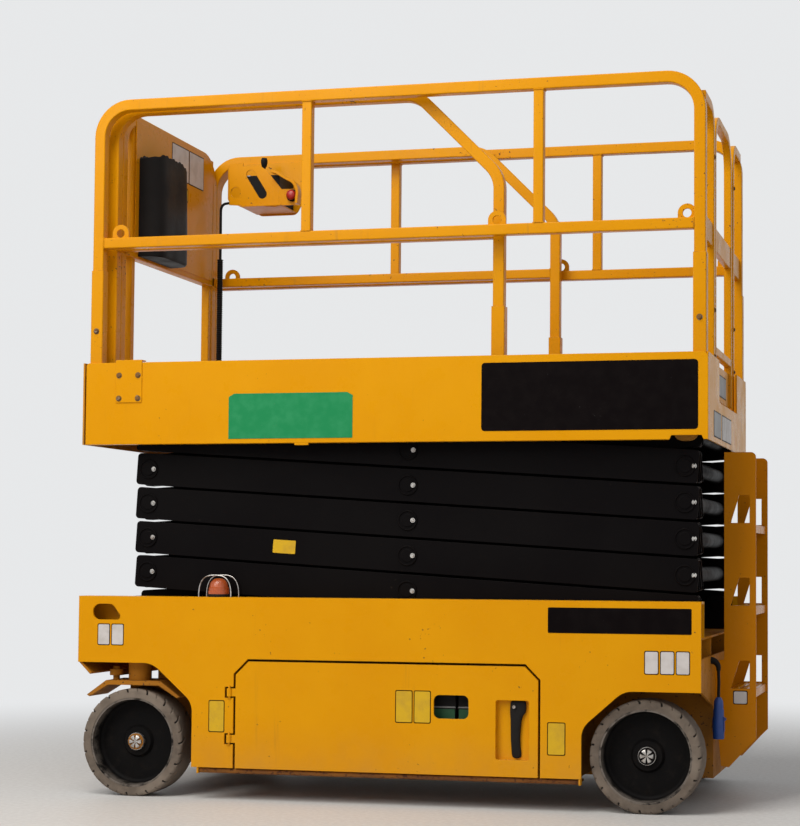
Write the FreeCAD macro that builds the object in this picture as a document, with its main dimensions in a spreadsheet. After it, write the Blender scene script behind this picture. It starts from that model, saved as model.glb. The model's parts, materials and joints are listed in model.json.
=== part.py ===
"""Slab scissor lift, 32 foot class: a steel chassis on four solid tyres, five crossed
levels of arms, and a railed platform with a roll-out front deck.

Frame: the floor is z = 0, +Z is up, +X runs to the ladder end, the steered wheels are
at the -X end, and the near side is -Y. The origin is at the middle of the overall length.
"""

import FreeCAD, Part
import math
import os
import Sketcher

V = FreeCAD.Vector
document = FreeCAD.newDocument("scissor_lift")
sheet = document.addObject("Spreadsheet::Sheet", "Sizes")

# Driving sizes in millimetres and degrees: name, value.
SIZES = [
    ("chassis_length", 2240),
    ("chassis_width", 1170),
    ("ladder_reach", 142.5),
    ("nose_overrun", 2.5),
    ("chassis_top", 710),
    ("sill_bottom", 113),
    ("skin", 8),
    ("spine_half_width", 270),
    ("spine_bottom", 95),
    ("overhang_bottom", 474),
    ("rear_lip_bottom", 409),
    ("trough_floor", 588),
    ("trough_half_width", 506),
    ("front_axle_from_front", 201),
    ("wheelbase", 1848),
    ("wheel_radius", 190.5),
    ("tyre_width", 127),
    ("tyre_wall", 32),
    ("wheel_inset", 25),
    ("arm_length", 1956),
    ("stowed_angle", 3.61),
    ("raised_angle", 67.1),
    ("base_pivot_height", 675),
    ("rear_pivot_from_rear", 68),
    ("arm_depth", 114),
    ("arm_width", 50),
    ("arm_wall", 6),
    ("arm_inset", 95),
    ("arm_gap", 8),
    ("arm_overhang", 46),
    ("pin_radius", 22),
    ("pin_clearance", 0.05),
    ("boss_radius", 35),
    ("roller_radius", 30),
    ("seat_gap", 0.3),
    ("cylinder_reach", 400),
    ("platform_half_width", 575),
    ("deck_clearance", 81),
    ("deck_thickness", 28),
    ("skirt_drop", 119),
    ("skirt_depth", 295),
    ("skirt_wall", 6),
    ("platform_rear_overrun", 22),
    ("rail_height", 1088),
    ("mid_rail_height", 585),
    ("rail_radius", 20),
    ("sleeve_radius", 23),
    ("rail_bend", 115),
    ("rail_inset", 30),
    ("inner_rail_inset", 97),
    ("extension_length", 1545),
    ("extension_lift", 6),
    ("extension_deck_thickness", 12),
    ("running_gap", 5.5),
    ("door_front_from_front", 601),
    ("door_length", 1086),
    ("door_top", 486),
    ("door_gap", 8),
    ("door_thickness", 22),
    ("gate_half_width", 250),
    ("stringer_half_width", 210),
]
for row, (alias, amount) in enumerate(SIZES, start=1):
    sheet.set("A%d" % row, alias)
    sheet.set("B%d" % row, str(amount))
    sheet.setAlias("B%d" % row, alias)
document.recompute()


class Size:
    """A number kept together with the sheet formula that gives it."""

    def __init__(self, amount, formula):
        self.amount = amount
        self.formula = formula

    def __add__(self, other):
        return Size(self.amount + number(other), "(%s + %s)" % (self.formula, text(other)))

    def __radd__(self, other):
        return Size(number(other) + self.amount, "(%s + %s)" % (text(other), self.formula))

    def __sub__(self, other):
        return Size(self.amount - number(other), "(%s - %s)" % (self.formula, text(other)))

    def __rsub__(self, other):
        return Size(number(other) - self.amount, "(%s - %s)" % (text(other), self.formula))

    def __mul__(self, other):
        return Size(self.amount * number(other), "(%s * %s)" % (self.formula, text(other)))

    def __rmul__(self, other):
        return Size(number(other) * self.amount, "(%s * %s)" % (text(other), self.formula))

    def __truediv__(self, other):
        return Size(self.amount / number(other), "(%s / %s)" % (self.formula, text(other)))

    def __neg__(self):
        return Size(-self.amount, "(0 - %s)" % self.formula)


def number(size):
    """The plain number of a size."""
    return size.amount if isinstance(size, Size) else float(size)


def text(size):
    """The formula text of a size."""
    return size.formula if isinstance(size, Size) else "(%.6f)" % size


def cell(alias):
    """One driving size from the sheet."""
    return Size(float(sheet.get(alias)), "Sizes.%s" % alias)


def sine(angle):
    return Size(math.sin(math.radians(angle.amount)), "sin(%s)" % angle.formula)


def cosine(angle):
    return Size(math.cos(math.radians(angle.amount)), "cos(%s)" % angle.formula)


def bind(item, path, size):
    """Ties a property of an object to the formula of its size."""
    if isinstance(size, Size):
        item.setExpression(path, size.formula)


def place(item, base, rotation=None):
    """Puts an object at a point given by three sizes."""
    spot = V(*[number(part) for part in base])
    item.Placement = FreeCAD.Placement(spot, rotation or FreeCAD.Rotation())
    for axis, part in zip("xyz", base):
        bind(item, ".Placement.Base.%s" % axis, part)


def block(name, x_span, y_span, z_span):
    """A box between low and high sizes along X, Y and Z."""
    item = document.addObject("Part::Box", name)
    for side, span in zip(("Length", "Width", "Height"), (x_span, y_span, z_span)):
        extent = span[1] - span[0]
        setattr(item, side, number(extent))
        bind(item, side, extent)
    place(item, (x_span[0], y_span[0], z_span[0]))
    return item


TURNS = {
    "X": FreeCAD.Rotation(V(0, 1, 0), 90),
    "Y": FreeCAD.Rotation(V(1, 0, 0), -90),
    "Z": FreeCAD.Rotation(),
}


def rod(name, axis, radius, base, length):
    """A round bar from its low end at base along +X, +Y or +Z."""
    item = document.addObject("Part::Cylinder", name)
    item.Radius = number(radius)
    item.Height = number(length)
    bind(item, "Radius", radius)
    bind(item, "Height", length)
    place(item, base, TURNS[axis])
    return item


def join(name, items):
    item = document.addObject("Part::MultiFuse", name)
    item.Shapes = items
    return item


def cut(name, base, tools):
    item = document.addObject("Part::Cut", name)
    item.Base = base
    item.Tool = tools[0] if len(tools) == 1 else join(name + "_tools", tools)
    return item


def across(side, inner, outer):
    """The Y span between two distances from the middle, on the near (-1) or far (+1) side."""
    return (inner, outer) if side > 0 else (-outer, -inner)


def loop(sketch, corners):
    """Adds one closed outline: corners are (x, y) or (x, y, radius), each tied to its sizes."""
    count = len(corners)
    spots = [V(number(c[0]), number(c[1]), 0) for c in corners]
    radii = [number(c[2]) if len(c) > 2 else 0.0 for c in corners]
    before, after, arcs = [], [], []
    for i, spot in enumerate(spots):
        if not radii[i]:
            before.append(spot)
            after.append(spot)
            arcs.append(None)
            continue
        back = (spots[i - 1] - spot).normalize()
        ahead = (spots[(i + 1) % count] - spot).normalize()
        half = back.getAngle(ahead) / 2
        reach = radii[i] / math.tan(half)
        centre = spot + (back + ahead).normalize() * (radii[i] / math.sin(half))
        before.append(spot + back * reach)
        after.append(spot + ahead * reach)
        first = math.atan2(before[i].y - centre.y, before[i].x - centre.x)
        last = math.atan2(after[i].y - centre.y, after[i].x - centre.x)
        turn = (last - first) % (2 * math.pi)
        circle = Part.Circle(centre, V(0, 0, 1), radii[i])
        if turn < math.pi:
            arcs.append((Part.ArcOfCircle(circle, first, first + turn), 1, 2))
        else:
            arcs.append((Part.ArcOfCircle(circle, last, last + 2 * math.pi - turn), 2, 1))
    lines = []
    for i in range(count):
        run = Part.LineSegment(after[i], before[(i + 1) % count])
        lines.append(sketch.addGeometry(run, False))
    for i, corner in enumerate(corners):
        if arcs[i] is None:
            joint = Sketcher.Constraint("Coincident", lines[i - 1], 2, lines[i], 1)
            sketch.addConstraint(joint)
            held = (lines[i], 1)
        else:
            arc, start, end = arcs[i]
            arc = sketch.addGeometry(arc, False)
            point = sketch.addGeometry(Part.Point(spots[i]), True)
            sketch.addConstraint(Sketcher.Constraint("Tangent", lines[i - 1], 2, arc, start))
            sketch.addConstraint(Sketcher.Constraint("Tangent", arc, end, lines[i], 1))
            sketch.addConstraint(Sketcher.Constraint("PointOnObject", point, 1, lines[i]))
            sketch.addConstraint(Sketcher.Constraint("PointOnObject", point, 1, lines[i - 1]))
            index = sketch.addConstraint(Sketcher.Constraint("Radius", arc, radii[i]))
            bind(sketch, "Constraints[%d]" % index, corner[2])
            held = (point, 1)
        for kind, size, value in (("DistanceX", corner[0], spots[i].x), ("DistanceY", corner[1], spots[i].y)):
            index = sketch.addConstraint(Sketcher.Constraint(kind, -1, 1, held[0], held[1], value))
            bind(sketch, "Constraints[%d]" % index, size)


def hole(sketch, x, y, radius):
    """Adds a round hole to an outline, tied to its sizes."""
    circle = sketch.addGeometry(Part.Circle(V(number(x), number(y), 0), V(0, 0, 1), number(radius)), False)
    index = sketch.addConstraint(Sketcher.Constraint("Radius", circle, number(radius)))
    bind(sketch, "Constraints[%d]" % index, radius)
    for kind, size in (("DistanceX", x), ("DistanceY", y)):
        index = sketch.addConstraint(Sketcher.Constraint(kind, -1, 1, circle, 3, number(size)))
        bind(sketch, "Constraints[%d]" % index, size)


def sketch_on(body, role):
    """A new sketch on one of the body's own origin planes."""
    sketch = body.newObject("Sketcher::SketchObject", body.Name + "_outline")
    plane = [item for item in body.Origin.OriginFeatures if item.Role == role][0]
    sketch.AttachmentSupport = [(plane, "")]
    sketch.MapMode = "FlatFace"
    return sketch


def plate(name, plane, corners, low, high, openings=(), holes=()):
    """A flat plate: an outline in the XY, XZ or YZ plane, padded between two sizes."""
    body = document.addObject("PartDesign::Body", name)
    sketch = sketch_on(body, plane + "_Plane")
    loop(sketch, corners)
    for opening in openings:
        loop(sketch, opening)
    for x, y, radius in holes:
        hole(sketch, x, y, radius)
    pad = body.newObject("PartDesign::Pad", name + "_pad")
    pad.Profile = sketch
    thickness = high - low
    pad.Length = number(thickness)
    bind(pad, "Length", thickness)
    base = {"XY": (0, 0, low), "XZ": (0, high, 0), "YZ": (low, 0, 0)}[plane]
    place(body, base)
    return body


def rectangle(x_span, y_span, radius=0):
    """The four corners of a rectangle, with rounded corners if a radius is given."""
    corners = [(x_span[0], y_span[0]), (x_span[1], y_span[0]), (x_span[1], y_span[1]), (x_span[0], y_span[1])]
    if number(radius):
        corners = [corner + (radius,) for corner in corners]
    return corners


def revolved(name, axis_points, profile):
    """A turned piece: profile points (radius, distance along Y) about a line along Y."""
    body = document.addObject("PartDesign::Body", name)
    sketch = sketch_on(body, "XY_Plane")
    loop(sketch, profile)
    turn = body.newObject("PartDesign::Revolution", name + "_turn")
    turn.Profile = sketch
    turn.ReferenceAxis = (sketch, ["V_Axis"])
    turn.Angle = 360
    place(body, axis_points)
    return body


def bent_tube(name, points, radius, bend):
    """A round tube along straight runs joined by tangent arcs of one bend radius."""
    spots = [V(*[number(part) for part in point]) for point in points]
    edges = []
    start = spots[0]
    for i in range(1, len(spots) - 1):
        back = (spots[i - 1] - spots[i]).normalize()
        ahead = (spots[i + 1] - spots[i]).normalize()
        half = back.getAngle(ahead) / 2
        reach = number(bend) / math.tan(half)
        centre = spots[i] + (back + ahead).normalize() * (number(bend) / math.sin(half))
        first = spots[i] + back * reach
        last = spots[i] + ahead * reach
        middle = centre + (spots[i] - centre).normalize() * number(bend)
        edges.append(Part.makeLine(start, first))
        edges.append(Part.Arc(first, middle, last).toShape())
        start = last
    edges.append(Part.makeLine(start, spots[-1]))
    ring = Part.Wire([Part.makeCircle(number(radius), spots[0], spots[1] - spots[0])])
    item = document.addObject("Part::Feature", name)
    item.Shape = Part.Wire(edges).makePipeShell([ring], True, False)
    return item


PIECES = []


def keep(label, item):
    """Labels a finished sub-part, which is written out as its own file."""
    item.Label = label
    PIECES.append(item)
    return item


NEAR_AND_FAR = (("near", -1), ("far", 1))

# Sizes that follow from the driving ones.
overall = cell("nose_overrun") + cell("chassis_length") + cell("ladder_reach")
front = cell("nose_overrun") - overall / 2
rear = front + cell("chassis_length")
half_width = cell("chassis_width") / 2
skin = cell("skin")
inner_half = half_width - skin
top = cell("chassis_top")
sill = cell("sill_bottom")
trough = cell("trough_floor")
trough_half = cell("trough_half_width")
spine_half = cell("spine_half_width")
front_axle = front + cell("front_axle_from_front")
rear_axle = front_axle + cell("wheelbase")
wheel_radius = cell("wheel_radius")
wheel_outer = half_width - cell("wheel_inset")
wheel_inner = wheel_outer - cell("tyre_width")
wheel_middle = wheel_outer - cell("tyre_width") / 2
over = cell("overhang_bottom")
lip = cell("rear_lip_bottom")

# Chassis sides: arched plates with a folded top flange and an inner wall along the arms.
door_front = front + cell("door_front_from_front")
door_rear = door_front + cell("door_length")
door_top = cell("door_top")
door_gap = cell("door_gap")
door_chamfer = 47
hinge_x = door_front - 23
hinge_heights = (377, 215)
hinge_pin_radius = 4
hinge_barrel_radius = 9
arch_rear = front_axle + 237
arch_front = rear_axle - 213
guard_axis_z = 102
guard_axis_y = half_width - 17
guard_front = front_axle + 264
guard_rear = arch_front - 10

side_outline = [
    (front, top),
    (front, over),
    (front_axle + 84, over, 90),
    (arch_rear, 338, 70),
    (arch_rear, sill),
    (door_front - door_gap, sill),
    (door_front - door_gap, door_top - door_chamfer + 3),
    (door_front + door_chamfer - 3, door_top + door_gap),
    (door_rear - door_chamfer + 3, door_top + door_gap),
    (door_rear + door_gap, door_top - door_chamfer + 3),
    (door_rear + door_gap, sill),
    (arch_front, sill),
    (arch_front, 283, 70),
    (rear_axle - 70, lip, 80),
    (rear, lip),
    (rear, top),
]
lashing_slot = [
    (front + 55, 626, 26),
    (front + 160, 626, 13),
    (front + 160, 643, 9),
    (front + 130, 682, 20),
    (front + 55, 682, 26),
]
for name, side in NEAR_AND_FAR:
    low, high = across(side, inner_half, half_width)
    notches = []
    for height in hinge_heights:
        notches.append(block("hinge_notch_%s_%d" % (name, height), (hinge_x - 17, door_front),
                             (low - 1, high + 1), (height - 19, height + 19)))
    raw_plate = plate("side_raw_" + name, "XZ", side_outline, low, high, [lashing_slot])
    skin_plate = cut("side_plate_" + name, raw_plate, notches)
    flange = block("side_flange_" + name, (front, rear), across(side, trough_half, inner_half), (top - skin, top))
    wall_span = across(side, trough_half, trough_half + 6)
    wall = block("side_wall_" + name, (front + skin, rear), wall_span, (trough, top - skin))
    solids = [skin_plate, flange, wall]
    for height in hinge_heights:
        base = (hinge_x, side * half_width, height - 23)
        solids.append(rod("hinge_pin_%s_%d" % (name, height), "Z", hinge_pin_radius, base, 46))
    for end, low_x in (("front", guard_front - 7), ("rear", guard_rear + 1)):
        lug_y = across(side, guard_axis_y - 12, half_width - 1)
        lug = block("guard_lug_%s_%s" % (end, name), (low_x, low_x + 6), lug_y, (guard_axis_z - 10, sill + 12))
        pin_x = low_x + 6 if end == "front" else low_x - 24
        pin_base = (pin_x, side * guard_axis_y, guard_axis_z)
        solids += [lug, rod("guard_pin_%s_%s" % (end, name), "X", 5, pin_base, 24)]
    keep("side_" + name, join("side_" + name, solids))

# Chassis frame: spine, trough floor, wheel-well walls, front and rear panels, steering bosses.
nose = plate("nose_panel", "XZ", [
    (front, top - skin), (front, over), (front + 43, over - 43), (front + 49, over - 37),
    (front + skin, over + 4), (front + skin, top - skin),
], -inner_half, inner_half)
tail = plate("tail_panel", "YZ", [
    (-inner_half, 520), (-inner_half, lip + 3), (-spine_half - 12, 345), (-spine_half, 345),
    (-spine_half, cell("spine_bottom")), (spine_half, cell("spine_bottom")), (spine_half, 345),
    (spine_half + 12, 345), (inner_half, lip + 3), (inner_half, 520),
], rear - skin, rear)
floor_x = (front + skin, rear - skin)
trough_plate = block("trough_plate", floor_x, (-inner_half, inner_half), (trough - skin, trough))
spine_x = (front_axle - 30, rear - skin)
spine_z = (cell("spine_bottom"), trough - skin)
frame_solids = [nose, tail, trough_plate]
for name, side in NEAR_AND_FAR:
    web_y = across(side, spine_half - skin, spine_half)
    frame_solids.append(block("spine_web_" + name, spine_x, web_y, spine_z))
    well_y = across(side, spine_half, inner_half)
    well_z = (sill, trough - skin)
    frame_solids.append(block("front_bulkhead_" + name, (arch_rear + 54, arch_rear + 62), well_y, well_z))
    frame_solids.append(block("rear_bulkhead_" + name, (arch_front - 24, arch_front - 16), well_y, well_z))
    bay_y = across(side, spine_half, half_width - 32)
    bay_x = (arch_rear + 54, arch_front - 16)
    frame_solids.append(block("bay_floor_" + name, bay_x, bay_y, (sill, sill + skin)))
spine_y = (-spine_half, spine_half)
frame_solids.append(block("spine_floor", spine_x, spine_y, (spine_z[0], spine_z[0] + skin)))
frame_solids.append(block("spine_front", (spine_x[0], spine_x[0] + skin), spine_y, spine_z))
beam_z = (over + 4, trough - skin)
kingpin_y = wheel_middle
kingpin_radius = 22
boss_bottom = 409.3
frame_solids.append(block("steer_beam", (front_axle - 70, front_axle + 70), (-inner_half, inner_half), beam_z))
bores = []
for name, side in NEAR_AND_FAR:
    base = (front_axle, side * kingpin_y, boss_bottom)
    frame_solids.append(rod("kingpin_boss_" + name, "Z", 41, base, beam_z[0] - boss_bottom))
    bore_radius = kingpin_radius + cell("pin_clearance")
    bores.append(rod("kingpin_bore_" + name, "Z", bore_radius, (front_axle, side * kingpin_y, boss_bottom - 5), 156))
frame_raw = join("chassis_frame_raw", frame_solids)
keep("chassis_frame", cut("chassis_frame", frame_raw, bores))

# Knuckles: a bent guard plate over the tyre, the kingpin, an inboard leg and the spindle.
steer_arm = 92
guard_plate_z = (393, 409)
spindle_radius = 25
wheel_hub_face = wheel_outer - 48
for name, side in NEAR_AND_FAR:
    guard = plate("guard_plate_" + name, "XZ", [
        (front_axle - 178, 356), (front_axle - 168, 350), (front_axle - 98, 393), (front_axle + 98, 393),
        (front_axle + 168, 350), (front_axle + 178, 356), (front_axle + 104, 409), (front_axle - 104, 409),
    ], *across(side, wheel_inner - 28, wheel_outer - 2))
    leg = plate("knuckle_leg_" + name, "XZ", [
        (front_axle - 70, 396), (front_axle - 70, 350), (front_axle - 42, wheel_radius - 42, 30),
        (front_axle + 42, wheel_radius - 42, 30), (front_axle + 70, 350), (front_axle + 70, 396),
    ], *across(side, wheel_inner - 28, wheel_inner - 8))
    kingpin = rod("kingpin_" + name, "Z", kingpin_radius, (front_axle, side * kingpin_y, 400), 158)
    collar = rod("steer_pin_" + name, "Z", 12, (front_axle - steer_arm, side * kingpin_y, 400), 56)
    stub_y = across(side, wheel_inner - 20, wheel_hub_face)
    stub = rod("spindle_" + name, "Y", spindle_radius, (front_axle, stub_y[0], wheel_radius), stub_y[1] - stub_y[0])
    nut_y = across(side, wheel_hub_face, wheel_hub_face + 16)
    nut = rod("spindle_nut_" + name, "Y", 29, (front_axle, nut_y[0], wheel_radius), nut_y[1] - nut_y[0])
    keep("knuckle_" + name, join("knuckle_" + name, [guard, leg, kingpin, collar, stub, nut]))

# Tie rod between the two steering pins.
eye_z = (424, 446)
tie_bar = rod("tie_bar", "Y", 14, (front_axle - steer_arm, -kingpin_y, 435), kingpin_y * 2)
tie_solids, tie_bores = [tie_bar], []
for name, side in NEAR_AND_FAR:
    spot = (front_axle - steer_arm, side * kingpin_y)
    tie_solids.append(rod("tie_eye_" + name, "Z", 24, spot + (eye_z[0],), eye_z[1] - eye_z[0]))
    tie_bores.append(rod("tie_bore_" + name, "Z", 12 + cell("pin_clearance"), spot + (eye_z[0] - 5,), 40))
keep("tie_rod", cut("tie_rod", join("tie_raw", tie_solids), tie_bores))

# Rear drive hubs: gearbox housings on the spine with a spindle for each rear wheel.
hub_solids = []
for name, side in NEAR_AND_FAR:
    for part, radius, reach in (("housing", 75, (spine_half, 400)), ("drum", 105, (400, wheel_inner - 6)),
                                ("shaft", spindle_radius, (wheel_inner - 6, wheel_hub_face)),
                                ("nut", 29, (wheel_hub_face, wheel_hub_face + 16))):
        low, high = across(side, *reach)
        base = (rear_axle, low, wheel_radius)
        hub_solids.append(rod("hub_%s_%s" % (part, name), "Y", radius, base, high - low))
keep("drive_hubs", join("drive_hubs", hub_solids))

# Wheels: a dished rim and a solid tyre, turned about the spindle.
rim_radius = wheel_radius - cell("tyre_wall")
bore = spindle_radius + cell("pin_clearance")
for end, axle in (("front", front_axle), ("rear", rear_axle)):
    for name, side in NEAR_AND_FAR:
        tyre_profile = [
            (rim_radius, side * wheel_inner), (wheel_radius, side * wheel_inner, 9),
            (wheel_radius, side * wheel_outer, 9), (rim_radius, side * wheel_outer),
        ]
        centre = (axle, 0, wheel_radius)
        keep("tyre_%s_%s" % (end, name), revolved("tyre_%s_%s" % (end, name), centre, tyre_profile))
        rim_profile = [
            (bore, side * (wheel_inner + 8)), (58, side * (wheel_inner + 8)),
            (58, side * (wheel_hub_face - 22)), (rim_radius - 8, side * (wheel_hub_face - 22), 10),
            (rim_radius - 8, side * (wheel_inner + 2)), (rim_radius, side * (wheel_inner + 2)),
            (rim_radius, side * (wheel_outer - 2)), (rim_radius - 7, side * (wheel_outer - 2)),
            (rim_radius - 12, side * (wheel_hub_face - 12), 14), (58, side * (wheel_hub_face - 12)),
            (50, side * (wheel_hub_face - 0.3)), (bore, side * (wheel_hub_face - 0.3)),
        ]
        keep("rim_%s_%s" % (end, name), revolved("rim_%s_%s" % (end, name), centre, rim_profile))

# Doors: flanged panels with a window and a latch recess, hung at their front edge.
window = ((door_front + 721, door_front + 844), (304, 384))
latch_recess = ((door_front + 939, door_front + 1055), (170, 371))
door_outline = [
    (door_front, sill), (door_rear, sill), (door_rear, door_top - door_chamfer),
    (door_rear - door_chamfer, door_top), (door_front + door_chamfer, door_top),
    (door_front, door_top - door_chamfer),
]
rim_in = 22
door_hollow = [
    (door_front + rim_in, sill + rim_in), (door_rear - rim_in, sill + rim_in),
    (door_rear - rim_in, door_top - door_chamfer - 9), (door_rear - door_chamfer - 9, door_top - rim_in),
    (door_front + door_chamfer + 9, door_top - rim_in), (door_front + rim_in, door_top - door_chamfer - 9),
]
door_back = half_width - cell("door_thickness")
for name, side in NEAR_AND_FAR:
    openings = [rectangle(*window, 20), rectangle(*latch_recess, 8)]
    panel = plate("door_panel_" + name, "XZ", door_outline, *across(side, door_back, half_width), openings)
    hollow = plate("door_hollow_" + name, "XZ", door_hollow, *across(side, door_back - 1, half_width - 6))
    shell = cut("door_shell_" + name, panel, [hollow])
    pan_y = across(side, door_back - 4, half_width - 6)
    pan_raw = plate("latch_pan_raw_" + name, "XZ", rectangle(
        (latch_recess[0][0] - 6, latch_recess[0][1] + 6), (latch_recess[1][0] - 6, latch_recess[1][1] + 6), 10), *pan_y)
    pan_cut = plate("latch_pan_cut_" + name, "XZ", rectangle(*latch_recess, 8), *across(side, door_back - 1, half_width))
    pan = cut("latch_pan_" + name, pan_raw, [pan_cut])
    solids, bores = [shell, pan], []
    for height in hinge_heights:
        tag = "%s_%d" % (name, height)
        spot = (hinge_x, side * half_width)
        solids.append(rod("knuckle_barrel_" + tag, "Z", hinge_barrel_radius, spot + (height - 14,), 28))
        strap = block("knuckle_strap_" + tag, (hinge_x, door_front + 30), across(side, half_width - 6, half_width),
                      (height - 14, height + 14))
        solids.append(strap)
        bores.append(rod("knuckle_bore_" + tag, "Z", hinge_pin_radius + cell("pin_clearance"), spot + (height - 16,), 32))
    keep("door_" + name, cut("door_" + name, join("door_raw_" + name, solids), bores))
    paddle_x = (latch_recess[0][0] + 46, latch_recess[0][0] + 96)
    paddle = plate("latch_paddle_" + name, "XZ", rectangle(paddle_x, (174, 368), 10),
                   *across(side, door_back - 1, half_width - 3))
    keep("latch_" + name, paddle)

# Pothole guards: a flap along each sill on a hinge tube, folded inwards when the arms are down.
for name, side in NEAR_AND_FAR:
    spot = (guard_front, side * guard_axis_y, guard_axis_z)
    tube = rod("guard_tube_" + name, "X", 9, spot, guard_rear - guard_front)
    flap = block("guard_flap_" + name, (guard_front, guard_rear), across(side, guard_axis_y - 82, guard_axis_y),
                 (guard_axis_z - 4, guard_axis_z + 4))
    hollow = rod("guard_bore_" + name, "X", 5 + cell("pin_clearance"),
                 (guard_front - 1, side * guard_axis_y, guard_axis_z), guard_rear - guard_front + 2)
    keep("pothole_guard_" + name, cut("pothole_guard_" + name, join("guard_raw_" + name, [tube, flap]), [hollow]))

# Ladder: two folded stringers with step pockets, joined by steps, on the tail panel.
ladder_rear = rear + cell("ladder_reach")
stringer_y = cell("stringer_half_width")
stringer_outline = [
    (rear + 31, 1229), (rear + 31, 503), (rear, 497), (rear, 345), (rear + 20, 132), (rear + 47, 128),
    (ladder_rear - 25, 204), (ladder_rear, 229), (ladder_rear, 1229, 18),
]
step_pitch = 289.3
step_heights = [402 + step_pitch * i for i in range(3)]
pockets = [[(rear + 54, z), (rear + 120, z), (rear + 120, z + 97), (rear + 84, z + 97)] for z in step_heights]
ladder_solids = []
for name, side in NEAR_AND_FAR:
    span = across(side, stringer_y - 6, stringer_y)
    ladder_solids.append(plate("stringer_" + name, "XZ", stringer_outline, *span, pockets))
for i, z in enumerate(step_heights):
    tread = plate("step_%d" % i, "XZ", [
        (rear + 40, z - 6), (rear + 40, z - 34), (rear + 46, z - 34), (rear + 46, z - 12),
        (ladder_rear - 14, z - 12), (ladder_rear - 14, z - 34), (ladder_rear - 8, z - 34), (ladder_rear - 8, z - 6),
    ], -stringer_y + 6, stringer_y - 6)
    ladder_solids.append(tread)
ladder_solids.append(block("ladder_head", (rear + 34, rear + 40), (-stringer_y + 6, stringer_y - 6), (1120, 1225)))
keep("ladder", join("ladder", ladder_solids))

# Battery blocks behind the near door, and the oil tank behind the far one.
packs = []
for i in range(4):
    low_x = door_front + 30 + 255 * i
    packs.append(block("battery_%d" % i, (low_x, low_x + 245), (-half_width + 52, -half_width + 232), (sill + skin, 440)))
keep("battery_pack", join("battery_pack", packs))
tank = block("oil_tank", (door_front + 60, door_front + 500), (half_width - 260, half_width - 60), (sill + skin, 430))
motor = rod("pump_motor", "X", 75, (door_front + 500, half_width - 160, sill + 96), 260)
manifold = block("valve_block", (door_front + 760, door_front + 940), (half_width - 240, half_width - 80), (sill + skin, 330))
keep("hydraulic_unit", join("hydraulic_unit", [tank, motor, manifold]))

# Beacon on the near top flange, inside two wire hoops.
beacon_x = front + 516
beacon_y = -(trough_half + inner_half) / 2
base = rod("beacon_base", "Z", 40, (beacon_x, beacon_y, top), 8)
drum = rod("beacon_drum", "Z", 34, (beacon_x, beacon_y, top + 8), 26)
cap = document.addObject("Part::Sphere", "beacon_cap")
cap.Radius = 34
cap.Angle1 = 0
place(cap, (beacon_x, beacon_y, top + 34))
hoops = []
for i, shift in enumerate((-14, 14)):
    y = beacon_y + shift
    hoops.append(bent_tube("beacon_hoop_%d" % i, [
        (beacon_x - 62, y, top), (beacon_x - 48, y, top + 78), (beacon_x + 48, y, top + 78), (beacon_x + 62, y, top),
    ], 2.5, 20))
keep("beacon", join("beacon", [base, drum, cap] + hoops))

# Scissor geometry: five levels of crossed arms between chassis and platform.
arm_length = cell("arm_length")
half_arm = arm_length / 2
angle = cell("stowed_angle")
rise = arm_length * sine(angle)
spread = arm_length * cosine(angle)
pivot_rear = rear - cell("rear_pivot_from_rear")
pivot_middle = pivot_rear - spread / 2
pivot_front = pivot_rear - spread
base_pivot = cell("base_pivot_height")
top_pivot = base_pivot + rise * 5
arm_outer = half_width - cell("arm_inset")
arm_split = arm_outer - cell("arm_width")
inner_outer = arm_split - cell("arm_gap")
inner_inner = inner_outer - cell("arm_width")
half_depth = cell("arm_depth") / 2
pin = cell("pin_radius")
pin_bore = pin + cell("pin_clearance")
seat = cell("seat_gap")
boss = cell("boss_radius")
roller = cell("roller_radius")
boss_split = (arm_split + inner_outer) / 2
pin_end = inner_inner - 2
reach = cell("cylinder_reach")
base_drop = 20
rod_drop = -30
member_radius = 24
ear_pin = 14
ear_span = (27, 39)


def arm_shell(name, side, inner, outer):
    """One arm of rectangular tube about its middle pivot, laid along X."""
    end = half_arm + cell("arm_overhang")
    low, high = across(side, inner, outer)
    bar = plate(name, "XZ", rectangle((-end, end), (-half_depth, half_depth), 14), low, high)
    wall = cell("arm_wall")
    hollow = block(name + "_hollow", (-end - 1, end + 1), (low + wall, high - wall), (wall - half_depth, half_depth - wall))
    return cut(name + "_tube", bar, [hollow])


def along(name, side, radius, x, z, inner, outer):
    """A round piece along Y between two distances from the middle."""
    low, high = across(side, inner, outer)
    return rod(name, "Y", radius, (x, low, z), high - low)


def tilt(item, level, turn):
    """Puts a finished arm at its level, turned about its middle pivot."""
    item.Placement = FreeCAD.Placement(V(0, 0, 0), FreeCAD.Rotation(V(0, 1, 0), number(turn)))
    height = base_pivot + rise * (level - 0.5)
    item.Placement.Base = V(number(pivot_middle), 0, number(height))
    bind(item, ".Placement.Base.x", pivot_middle)
    bind(item, ".Placement.Base.z", height)
    bind(item, ".Placement.Rotation.Angle", turn)
    return item


for level in range(1, 6):
    solids = []
    for name, side in NEAR_AND_FAR:
        tag = "outer_%d_%s" % (level, name)
        solids.append(arm_shell("arm_" + tag, side, arm_split, arm_outer))
        for i, x in enumerate((-half_arm, 0, half_arm)):
            solids.append(along("boss_%s_%d" % (tag, i), side, boss, x, 0, boss_split + seat / 2, arm_outer + 2))
            solids.append(along("pin_%s_%d" % (tag, i), side, pin, x, 0, pin_end, arm_outer + 5))
        if level == 5:
            solids.append(along("roller_" + tag, side, roller, -half_arm, 0, inner_inner, inner_outer))
    keep("outer_arms_%d" % level, tilt(join("outer_arms_%d" % level, solids), level, angle))

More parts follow.
